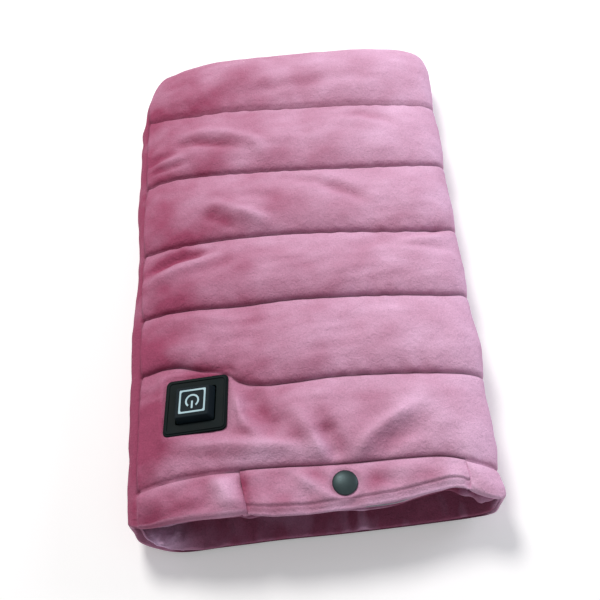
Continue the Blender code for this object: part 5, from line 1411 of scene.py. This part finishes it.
@dataclass
class InnerLining:
    """Plush lining of the pouch: a closed inner tube whose back gathers in small pleats at the mouth."""

    form: PouchForm
    quilting: Quilting
    spacing: float = 2.2 * MM
    rows: int = 90
    depth: float = 7.65 * MM
    lip_depth: float = 9.0 * MM
    wall: float = 1.5 * MM
    setback: float = 2.2 * MM
    back_thin: float = 5.6 * MM
    front_thin: float = 2.2 * MM
    pleat: Wave = Wave(1.5 * MM, 9.5 * MM, 83)
    pleat_run: float = 60 * MM
    pleat_stretch: Triple = (1.0, 0.12, 0.0)
    lip_blend: Pair = (-6 * MM, 2 * MM)
    back_setback: float = 0.7 * MM
    edge_reach: float = 0.9 * MM
    lay_wave: Wave = Wave(0.08, 18 * MM, 97)
    band_run: Pair = (-60 * MM, 40 * MM)
    darker_run: Pair = (30 * MM, 75 * MM)
    floor_top: Pair = (13 * MM, 16 * MM)
    mouth_line: Pair = (-189 * MM, 8 * MM)
    left_tuft: tuple[Pair, ...] = ((-89 * MM, 11 * MM), (-190 * MM, 9 * MM))
    right_tuft: Pair = (76 * MM, 86 * MM)
    middle_run: Pair = (-50 * MM, -35 * MM)
    floor_wave: Wave = Wave(0.35 * MM, 16 * MM, 89)
    floor_run: Pair = (2 * MM, 10 * MM)
    lumps: tuple[Wave, Wave] = (Wave(0.28, 9 * MM, 101), Wave(0.1, 5 * MM, 107))
    tuft_table: tuple[tuple[bool, Pair, Pair, float, float], ...] = (
        (False, (-88 * MM, 9 * MM), (-188 * MM, 6.5 * MM), 11 * MM, 6.4 * MM),
        (True, (91 * MM, 8 * MM), (-185 * MM, 5 * MM), 1.2 * MM, 2.2 * MM))

    def tufts(self, points: Grid, y: Grid, front: Grid) -> Grid:
        """Lumps of long pile that swell out of the mouth's corners, off the floor at the left.

        Args:
            points: Grid of the lining's inner side.
            y: Places along.
            front: Whether each point is on the front.

        Returns:
            Moves to add to the points.
        """
        x = points[..., 0]
        lumps = 1 + sum(wave.at(points) for wave in self.lumps)
        up, out = 0 * x, 0 * x
        for on_front, (place_x, reach_x), (place_y, reach_y), rise, reach in self.tuft_table:
            tuft = bell(x - place_x, reach_x) * bell(y - place_y, reach_y) * (front == on_front)
            up += np.where(front, -rise, rise) * tuft * lumps
            out -= reach * tuft * lumps
        return np.stack([0 * x, out, up], axis=-1)

    def build(self, material: Material) -> Object:
        """Make the lining: its outer side, the turn at the mouth and its inner side.

        Args:
            material: Plush of the lining.

        Returns:
            The lining.
        """
        form = self.form
        share, front = form.ring(self.spacing)
        x = share * form.base_half
        before, behind = self.lip_blend
        on_lip = (smooth_step(before, behind, x - form.pocket_left)
                  * smooth_step(before, behind, form.pocket_right - x) * front)
        front_mouth = smooth_line(self.quilting.front_mouth, x) + self.setback * (1 - 0.95 * on_lip)
        mouth = np.where(front, front_mouth, smooth_line(self.quilting.back_mouth, x) + self.back_setback)
        straight_end = form.half_length - form.end_round
        run = np.linspace(0, 1, self.rows)[:, None] ** 1.25
        sides = []
        for depth in (self.depth, self.depth + self.wall):
            inside = depth > self.depth
            end = form.half_length - depth
            turn = np.sin(np.linspace(0, math.pi / 2, 12))[1:, None]
            y = np.concatenate([mouth + (straight_end - mouth) * run,
                                straight_end + (end - straight_end) * turn + 0 * mouth])
            depths = (depth, depth + self.lip_depth - self.depth, self.back_thin, self.front_thin)
            points = form.inner_side(share, y, front, on_lip, depths)
            if inside:
                fade = np.exp(-(y - mouth) / self.pleat_run) * (1 - np.abs(share) ** 8)
                fade = fade * np.where(front, 0.25, 1)
                pleats = self.pleat.at(points * np.array(self.pleat_stretch)) * fade
                pleats += self.floor_wave.at(points) * smooth_step(*self.floor_run, y - mouth)
                points[..., 2] += np.where(front, -1, 1) * (np.abs(pleats) + 0.3 * pleats)
                points += self.tufts(points, y, front)
            sides.append(points)
        outer, inner = (zipped(side) for side in sides)
        phi = np.linspace(0, math.pi, 7)[1:-1, None, None]
        edge = outer[0] + (inner[0] - outer[0]) * (1 - np.cos(phi)) / 2
        edge = edge - np.array([0, 1, 0]) * self.edge_reach * np.sin(phi)
        loop = np.concatenate([inner[::-1], edge[::-1], outer])
        x, y, z = loop[..., 0], loop[..., 1], loop[..., 2]
        # Painted light and shade: the colour follows the pleats, paler and darker in bands.
        bands = self.pleat.at(loop * np.array(self.pleat_stretch)) / self.pleat.height
        pale_tone_and_light = self.lay_wave.at(loop) + 0.09 * bands * smooth_step(*self.band_run, x)
        # Darker towards the right.
        pale_tone_and_light -= 0.26 * smooth_step(*self.darker_run, x)
        # Painted light: the tuft at the left corner is made much paler, as light on it, though it sits in
        # shade.
        tuft = np.where(front, 0.3, 1)
        for offset, (place, reach) in zip((x, y), self.left_tuft):
            tuft = tuft * bell(offset - place, reach)
        # Painted sheen: the lining's edge at the mouth is made paler towards the right and in the middle, as
        # light and sheen on its fuzzy rim.
        place, reach = self.mouth_line
        rim = bell(y - place, reach) * smooth_step(*self.floor_top, z) * (np.arange(len(loop))[:, None] > 0)
        pale_tone_and_light += 1.15 * tuft
        pale_tone_and_light += rim * (0.5 * smooth_step(*self.right_tuft, x) + 0.15 * smooth_step(*self.middle_run, x))
        piece = add_piece("inner_lining", loop, material,
                          attributes={"painted_shade": 0 * pale_tone_and_light, "pale_tone_and_light": np.clip(pale_tone_and_light, -0.3, 1)})
        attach(piece, "pouch")
        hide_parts("front_lining", "back_lining")
        return piece


@dataclass
class PocketCloth:
    """Grey taffeta: the facing on the pocket's inner lip, the bag behind it and the joining seam's tape."""

    form: PouchForm
    quilting: Quilting
    facing_wall: float = 0.4 * MM
    facing_level: float = 6.5 * MM
    facing_setback: float = 1.4 * MM
    facing_wave: Wave = Wave(0.12 * MM, 14 * MM, 103)
    facing_pull: Triple = (1.6 * MM, 38 * MM, 24 * MM)
    facing_turn: float = 0.9 * MM
    roof_cover: float = 3.4 * MM
    floor_cover: float = 6.8 * MM
    bag_room: Pair = (0.2 * MM, 0.1 * MM)
    bag_left: float = -40.2 * MM
    bag_right: float = 85.2 * MM
    bag_start: float = -167.6 * MM
    bag_end: float = -32.9 * MM
    bag_wall: float = 0.3 * MM
    bag_roof: float = 40.1 * MM
    bag_floor: float = 28.75 * MM
    tape_start: float = -168.2 * MM
    tape_end: float = 145 * MM
    tape_inset: float = 2.6 * MM
    tape_half: float = 5.1 * MM
    tape_wall: float = 0.8 * MM

    def facing(self, material: Material) -> Object:
        """Make the facing: a strip along the lip, folded over its edge.

        Args:
            material: Taffeta.

        Returns:
            The facing.
        """
        form = self.form
        x = np.linspace(self.bag_left, self.bag_right, 130)
        share = x / form.base_half
        edge = smooth_line(self.quilting.front_mouth, x) + self.facing_setback
        v = np.linspace(0, 1, 16)[:, None]
        y = edge + (self.bag_start - edge) * v
        base = form.points(share, y, np.array(True))
        raised = form.lip_raise(x) * (1 - smooth_step(0.25, 0.7, v))
        base[..., 2] -= self.facing_level - raised - self.facing_wave.at(base)
        pull, place, reach = self.facing_pull
        base[..., 1] -= pull * bell(x - place, reach) * (1 - smooth_step(0, 0.3, v))
        base[..., 2] -= self.facing_turn * (1 - smooth_step(0, 0.1, v))
        under = base - np.array([0, 0, self.facing_wall])
        loop = np.concatenate([base, under[::-1]])
        piece = self.closed_strip("pocket_facing_cloth", loop, material)
        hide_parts("pocket_facing")
        return piece

    def bag(self, material: Material) -> Object:
        """Make the bag: a flat tube round the battery, open at the pocket's mouth and closed behind.

        Args:
            material: Taffeta.

        Returns:
            The bag.
        """
        form = self.form
        angles = np.arange(96) * 2 * math.pi / 96
        middle = (self.bag_left + self.bag_right) / 2
        half = (self.bag_right - self.bag_left) / 2
        sides = []
        circle = (np.cos(angles), np.sin(angles))
        cosines, sines = (np.sign(values) * np.abs(values) ** 0.4 for values in circle)
        run = np.concatenate([np.linspace(0, 0.9, 22), np.linspace(0.9, 1, 6)[1:]])[:, None]
        closing = np.sqrt(np.clip(1 - np.clip((run - 0.9) / 0.1, 0, 1) ** 3, 0, 1))
        gap, least = self.bag_room
        for inset in (0.0, self.bag_wall):
            x = middle + (half - inset) * cosines
            y = self.bag_start + (self.bag_end - inset - self.bag_start) * run + 0 * x
            level = form.points(x / form.base_half, y, np.array(True))[..., 2]
            roof = np.minimum(self.bag_roof, level - self.roof_cover) - inset
            share = form.sag(x, y) / form.battery_sag
            low = np.minimum(level - self.floor_cover, roof - gap)
            floor = np.minimum(low + (self.bag_floor - low) * share + inset, roof - least)
            height = (roof + floor) / 2 + (roof - floor) / 2 * sines * closing
            sides.append(np.stack([x + 0 * y, y, height], axis=-1))
        outer, inner = (zipped(side) for side in sides)
        loop = np.concatenate([inner[::-1], outer])[:, ::-1]
        piece = add_piece("pocket_bag_cloth", loop, material)
        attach(piece, "pouch")
        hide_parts("pocket_bag")
        return piece

    def tape(self, material: Material) -> Object:
        """Make the tape on the joining seam: a strip on edge that keeps one distance inside the left side.

        Args:
            material: Taffeta.

        Returns:
            The tape.
        """
        y = np.linspace(self.tape_start, self.tape_end, 160)
        left = np.full(y.shape, -1.0)
        side = self.form.half_width(left, y, 0.0) + smooth_line(self.quilting.left_wrap, y)
        outer = -(side - self.tape_inset)
        sections = [(outer, -self.tape_half), (outer, self.tape_half),
                    (outer + self.tape_wall, self.tape_half), (outer + self.tape_wall, -self.tape_half)]
        loop = np.stack([np.stack([x, y, np.full(y.shape, self.form.fold_height + rise)], axis=-1)
                         for x, rise in sections])
        piece = self.closed_strip("seam_tape_cloth", loop, material)
        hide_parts("side_seam_tape")
        return piece

    def closed_strip(self, name: str, loop: Grid, material: Material) -> Object:
        """Close a strip's loop of rows at both sides and make the piece."""
        piece = add_piece(name, capped(loop), material, False, True)
        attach(piece, "pouch")
        return piece


@dataclass
class Wadding:
    """Polyester wadding between the cover and the heater: a quilted pad in each panel."""

    form: PouchForm
    quilting: Quilting
    top_depth: float = 4.6 * MM
    front_crown: float = 3.2 * MM
    back_crown: float = 2.2 * MM
    floor_depth: float = 4.8 * MM
    floor_swell: float = 0.4 * MM
    edge_run: float = 12 * MM
    half: float = 90 * MM
    end: float = 160 * MM
    front_start: float = -28 * MM

    def pad(self, name: str, front: bool, material: Material) -> Object:
        """Make one panel's pad: crowned between the seams, clear of the cover and of the pocket.

        Args:
            name: Name of the pad.
            front: Whether it is the front panel's.
            material: Wadding.

        Returns:
            The pad.
        """
        form = self.form
        x = np.linspace(-self.half, self.half, 90)
        lines = self.quilting.lines(x / form.base_half, np.full(x.shape, front), form)
        lines.append(np.full(x.shape, self.end))
        if front:
            lines = [np.full(x.shape, self.front_start)] + lines[3:]
        rows, crowns = [], []
        for low, high in zip(lines, lines[1:]):
            v = np.linspace(0, 1, 13)[(0 if not rows else 1):, None]
            rows.append(low + (high - low) * v)
            crowns.append(np.sin(math.pi * v) ** 0.7 + 0 * low)
        y = np.concatenate(rows)
        crown = np.concatenate(crowns) * (self.front_crown if front else self.back_crown)
        top = form.points(x / form.base_half, y, np.array(front))
        bottom = top.copy()
        sign = 1 if front else -1
        edge = np.minimum(1, (self.half - np.abs(x)) / self.edge_run)
        top[..., 2] += sign * (crown * edge - self.top_depth)
        bottom[..., 2] -= sign * (self.floor_depth + self.floor_swell * edge)
        loop = np.concatenate([top, bottom[::-1]]) if front else np.concatenate([top[::-1], bottom])
        piece = add_piece(name, capped(loop), material, False, True)
        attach(piece, "pouch")
        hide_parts("front_wadding" if front else "back_wadding")
        return piece


@dataclass
class PowerSwitch:
    """Sewn-in push switch: a framed flange and well, and a pyramid-sided key."""

    centre: Triple = (-65 * MM, -121.75 * MM, 45.46 * MM)
    tilt: float = math.radians(5)
    turn: float = math.radians(3.4)
    shear_share: float = 0.11
    stretch_share: float = 1.08
    drift: Pair = (-0.5 * MM, 0.5 * MM)
    lean: float = 1.5 * MM
    lean_run: Pair = (2.1 * MM, 6 * MM)
    crisp_turn: float = math.radians(32)
    mark_nodes: tuple[str, ...] = ("icon_frame", "icon_arc", "icon_bar")
    bezel_profile: Profile = (
        (18.5, 17.25, 3.2, 0), (18.55, 17.3, 3.2, 0.5), (18.5, 17.25, 3.2, 1.15), (18.38, 17.13, 3.1, 1.45),
        (18.1, 16.85, 2.9, 1.6), (17.66, 16.41, 2.6, 1.6), (17.52, 16.27, 2.5, 1.68),
        (17.44, 16.19, 2.4, 1.95), (17.28, 16.03, 2.3, 2.14), (17, 15.75, 2.1, 2.2),
        (16.6, 15.35, 1.9, 2.2), (16.36, 15.11, 1.8, 2.12), (16.24, 14.99, 1.7, 1.8),
        (16.1, 14.85, 1.6, 1.64), (15.8, 14.55, 1.5, 1.6), (11.95, 11.45, 1.4, 1.6),
        (11.68, 11.18, 1.3, 1.54), (11.54, 11.04, 1.2, 1.38), (11.5, 11, 1.2, 1.1), (11.5, 11, 1.2, -0.9),
        (13.3, 12.4, 1.2, -1.1), (13.3, 12.4, 1.2, -3.8), (15.5, 14.5, 2.6, -3.8), (15.5, 14.5, 2.6, 0))
    key_profile: Profile = (
        (0.002, 0.002, 0.001, -1.2), (10.9, 10.4, 1.2, -1.2), (10.9, 10.4, 1.2, 1.35),
        (10.82, 10.32, 1.2, 1.7), (10.7, 10.2, 1.2, 2.1), (9.86, 9.36, 1, 6), (9.7, 9.2, 0.95, 6.22),
        (9.5, 9, 0.9, 6.36), (9.2, 8.7, 0.8, 6.4), (6, 5.6, 0.5, 6.4), (0.002, 0.002, 0.001, 6.4))

    def place(self) -> Matrix:
        """Place of the switch, tilted with the channel that it sits on."""
        return Matrix.Translation(self.centre) @ Matrix.Rotation(-self.tilt, 4, "X")

    def turned(self, points: Grid) -> Grid:
        """Points turned slightly about the switch's own axis, as the cloth has drawn it."""
        place = self.place()
        across, along = self.drift
        drawn = Matrix(((1, self.shear_share, 0, across), (0, self.stretch_share, 0, along),
                        (0, 0, 1, 0), (0, 0, 0, 1)))
        whole = place @ drawn @ Matrix.Rotation(self.turn, 4, "Z") @ place.inverted()
        return place_points(points, whole)

    def mark(self, frame: dict, node: str, material: Material) -> Object:
        """Make one part of the printed power mark, turned with the key.

        Args:
            frame: The loaded frame.
            node: Name of the solid that it is made from.
            material: Pale print.

        Returns:
            The part of the mark.
        """
        solid = frame["nodes"][node]
        count = len(solid.data.vertices)
        points = np.empty(count * 3, dtype=np.float32)
        solid.data.vertices.foreach_get("co", points)
        points = place_points(points.reshape(-1, 3).astype(float), solid.matrix_world)
        side = np.array(self.place())[:3, 0]
        points = self.turned(points) - side * self.lean
        mesh = bpy.data.meshes.new(f"{node}_print")
        mesh.from_pydata(points.tolist(), [], [tuple(face.vertices) for face in solid.data.polygons])
        mesh.materials.append(material)
        piece = add_object(f"{node}_print", mesh)
        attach(piece, "key")
        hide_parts(node)
        return piece

    def build(self, material: Material, polished: Material) -> list[Object]:
        """Make the bezel and the key.

        Args:
            material: Black plastic of the bezel.
            polished: Smoother black plastic of the key.

        Returns:
            The two pieces.
        """
        place = self.place()
        bezel = self.turned(place_points(profile_grid(self.bezel_profile), place))
        frame = add_piece("switch_frame", bezel, material, True, True)
        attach(frame, "pouch")
        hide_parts("switch_bezel")
        key = profile_grid(self.key_profile)
        key[..., 0] -= self.lean * smooth_step(*self.lean_run, key[..., 2])
        key = self.turned(place_points(key, place))
        cap = add_piece("switch_button", key, polished)
        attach(cap, "key")
        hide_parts("switch_key")
        for piece in (frame, cap):
            piece.data.set_sharp_from_angle(angle=self.crisp_turn)
        return [frame, cap]


@dataclass
class SnapButton:
    """Plated cap of the press snap, domed, with a rolled rim, and its post through the flap."""

    centre: Triple = (17.6 * MM, -176.2 * MM, 45.49 * MM)
    crisp_turn: float = math.radians(50)
    profile: Picks = (
        (0, -2.4), (1.4, -2.4), (1.5, -2.3), (1.5, -0.12), (6.7, -0.12), (7, -0.05), (7.2, 0.12),
        (7.26, 0.4), (7.2, 0.72), (7.02, 1), (6.7, 1.24), (6.1, 1.5), (5.2, 1.82), (4, 2.12), (2.6, 2.34),
        (1.2, 2.46), (0, 2.5))

    def build(self, material: Material) -> Object:
        """Make the cap by turning its profile.

        Args:
            material: Dark plating.

        Returns:
            The cap.
        """
        grid = lathe_grid(self.profile, 72) + np.array(self.centre)
        piece = add_piece("snap_button", grid, material)
        piece.data.set_sharp_from_angle(angle=self.crisp_turn)
        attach(piece, "flap")
        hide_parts("snap_cap")
        return piece


@dataclass
class Studio:
    """Pale floor, soft lights and the photograph's camera."""

    focal_pixels: float = 893.0
    frame_pixels: float = 600.0
    sensor: float = 36.0
    azimuth: float = math.radians(1.98)
    elevation: float = math.radians(58.19)
    roll: float = math.radians(-6.79)
    target: Triple = (-0.1 * MM, -38.4 * MM, 20 * MM)
    distance: float = 592 * MM
    near_clip: float = 10 * MM
    far_clip: float = 20
    floor_half: float = 3.0
    floor_gap: float = 0.2 * MM
    lamp_target: Triple = (0, 0, 20 * MM)

    def camera(self) -> None:
        """Set up the camera that was fitted to the photograph's outline."""
        back = Vector((math.sin(self.azimuth) * math.cos(self.elevation),
                       -math.cos(self.azimuth) * math.cos(self.elevation), math.sin(self.elevation)))
        right = (-back).cross(Vector((0, 0, 1))).normalized()
        up = right.cross(-back)
        right_rolled = right * math.cos(self.roll) + up * math.sin(self.roll)
        up_rolled = up * math.cos(self.roll) - right * math.sin(self.roll)
        place = Matrix((right_rolled, up_rolled, back)).transposed().to_4x4()
        place.translation = Vector(self.target) + back * self.distance
        data = bpy.data.cameras.new("photograph_camera")
        data.sensor_width = self.sensor
        data.lens = self.sensor * self.focal_pixels / self.frame_pixels
        data.clip_start = self.near_clip
        data.clip_end = self.far_clip
        camera = add_object("photograph_camera", data)
        camera.matrix_world = place
        bpy.context.scene.camera = camera

    def seen(self, tree: NodeTree) -> NodeSocket | float:
        """One for a ray from the camera, a glossy surface or a clear piece, and zero for the rest."""
        share = 0.0
        for ray in ("Is Camera Ray", "Is Glossy Ray", "Is Transmission Ray"):
            share = add_node(tree, "Math", 0, {0: share, 1: add_node(tree, "LightPath", ray, {})},
                             operation="ADD", use_clamp=True)
        return share

    def floor(self) -> None:
        """Make the pale floor, which shows white to the camera and keeps the soft shadow."""
        mesh = bpy.data.meshes.new("studio_floor")
        half = self.floor_half
        mesh.from_pydata([(-half, -half, 0), (half, -half, 0), (half, half, 0), (-half, half, 0)], [],
                         [(0, 1, 2, 3)])
        material = bpy.data.materials.new("white_paper_sweep")
        material.use_nodes = True
        tree = material.node_tree
        tree.nodes.remove(tree.nodes["Principled BSDF"])
        paper = add_node(tree, "BsdfDiffuse", 0, {"Color": "#F4F4F4"})
        glow = add_node(tree, "Emission", 0, {"Color": "#FFFFFF", "Strength": 0.27})
        both = add_node(tree, "AddShader", 0, {0: paper, 1: glow})
        mixed = add_node(tree, "MixShader", 0, {0: self.seen(tree), 1: paper, 2: both})
        tree.links.new(mixed, tree.nodes["Material Output"].inputs["Surface"])
        mesh.materials.append(material)
        floor = add_object("studio_floor", mesh)
        floor.location.z = -self.floor_gap

    def world(self) -> None:
        """Surround with a white backdrop to the camera and a plain soft light to the object."""
        world = bpy.data.worlds.new("studio")
        world.use_nodes = True
        bpy.context.scene.world = world
        tree = world.node_tree
        soft = add_node(tree, "Background", 0, {"Color": "#F3F4F8", "Strength": 0.32})
        white = add_node(tree, "Background", 0, {"Color": "#FFFFFF", "Strength": 1.0})
        mixed = add_node(tree, "MixShader", 0, {0: self.seen(tree), 1: soft, 2: white})
        tree.links.new(mixed, tree.nodes["World Output"].inputs["Surface"])

    def lamp(self, name: str, place: Triple, size: float, power: float,
             tint: str) -> None:
        """Add a round soft lamp that points at the pouch."""
        data = bpy.data.lights.new(name, "AREA")
        data.shape = "DISK"
        data.size = size
        data.energy = power
        data.color = linear(tint)[:3]
        lamp = add_object(name, data)
        lamp.location = place
        way = Vector(self.lamp_target) - Vector(place)
        lamp.rotation_euler = way.to_track_quat("-Z", "Y").to_euler()

    def build(self) -> None:
        """Set up everything round the object."""
        self.camera()
        self.floor()
        self.world()
        self.lamp("far_left_key", (-0.42, 0.85, 1.55), 0.55, 22.0, "#FFFCF9")
        self.lamp("right_window", (1.55, 0.6, 0.75), 0.9, 10.5, "#F2F1FF")
        bpy.context.scene.view_settings.view_transform = "Standard"


def dress_nodes(frame: dict, materials: dict[str, Material]) -> None:
    """Give every carried-over node the finish of its slot.

    Args:
        frame: The loaded frame.
        materials: Materials by slot.
    """
    for row in frame["record"]["subparts"]:
        node = frame["nodes"][row["node"]]
        for place in node.material_slots:
            place.material = materials[row["material_slot"]]


def main() -> None:
    """Build the scene in order and report each piece."""
    logging.basicConfig(level=logging.INFO, format="%(message)s")
    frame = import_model()
    Studio().build()
    LOG.info("camera, floor and lights are set up")
    materials = {slot: finish.material() for slot, finish in FINISHES.items()}
    dress_nodes(frame, materials)
    form = PouchForm()
    quilting = Quilting()
    cloth = PocketCloth(form, quilting)
    wadding = Wadding(form, quilting)
    switch = PowerSwitch()
    made = [
        QuiltedCover(form, quilting).build(materials["shell_plush"]),
        PocketFlap(form, quilting).build(materials["shell_plush"]),
        InnerLining(form, quilting).build(materials["lining_plush"]),
        cloth.facing(materials["taffeta"]),
        cloth.bag(materials["taffeta"]),
        cloth.tape(materials["taffeta"]),
        wadding.pad("front_pad", True, materials["wadding"]),
        wadding.pad("back_pad", False, materials["wadding"]),
        *switch.build(materials["switch_plastic"], materials["key_plastic"]),
        *(switch.mark(frame, node, materials["pale_print"]) for node in switch.mark_nodes),
        SnapButton().build(materials["snap_metal"]),
    ]
    for piece in made:
        LOG.info("%s: %d faces", piece.name, len(piece.data.polygons))


if __name__ == "__main__":
    main()
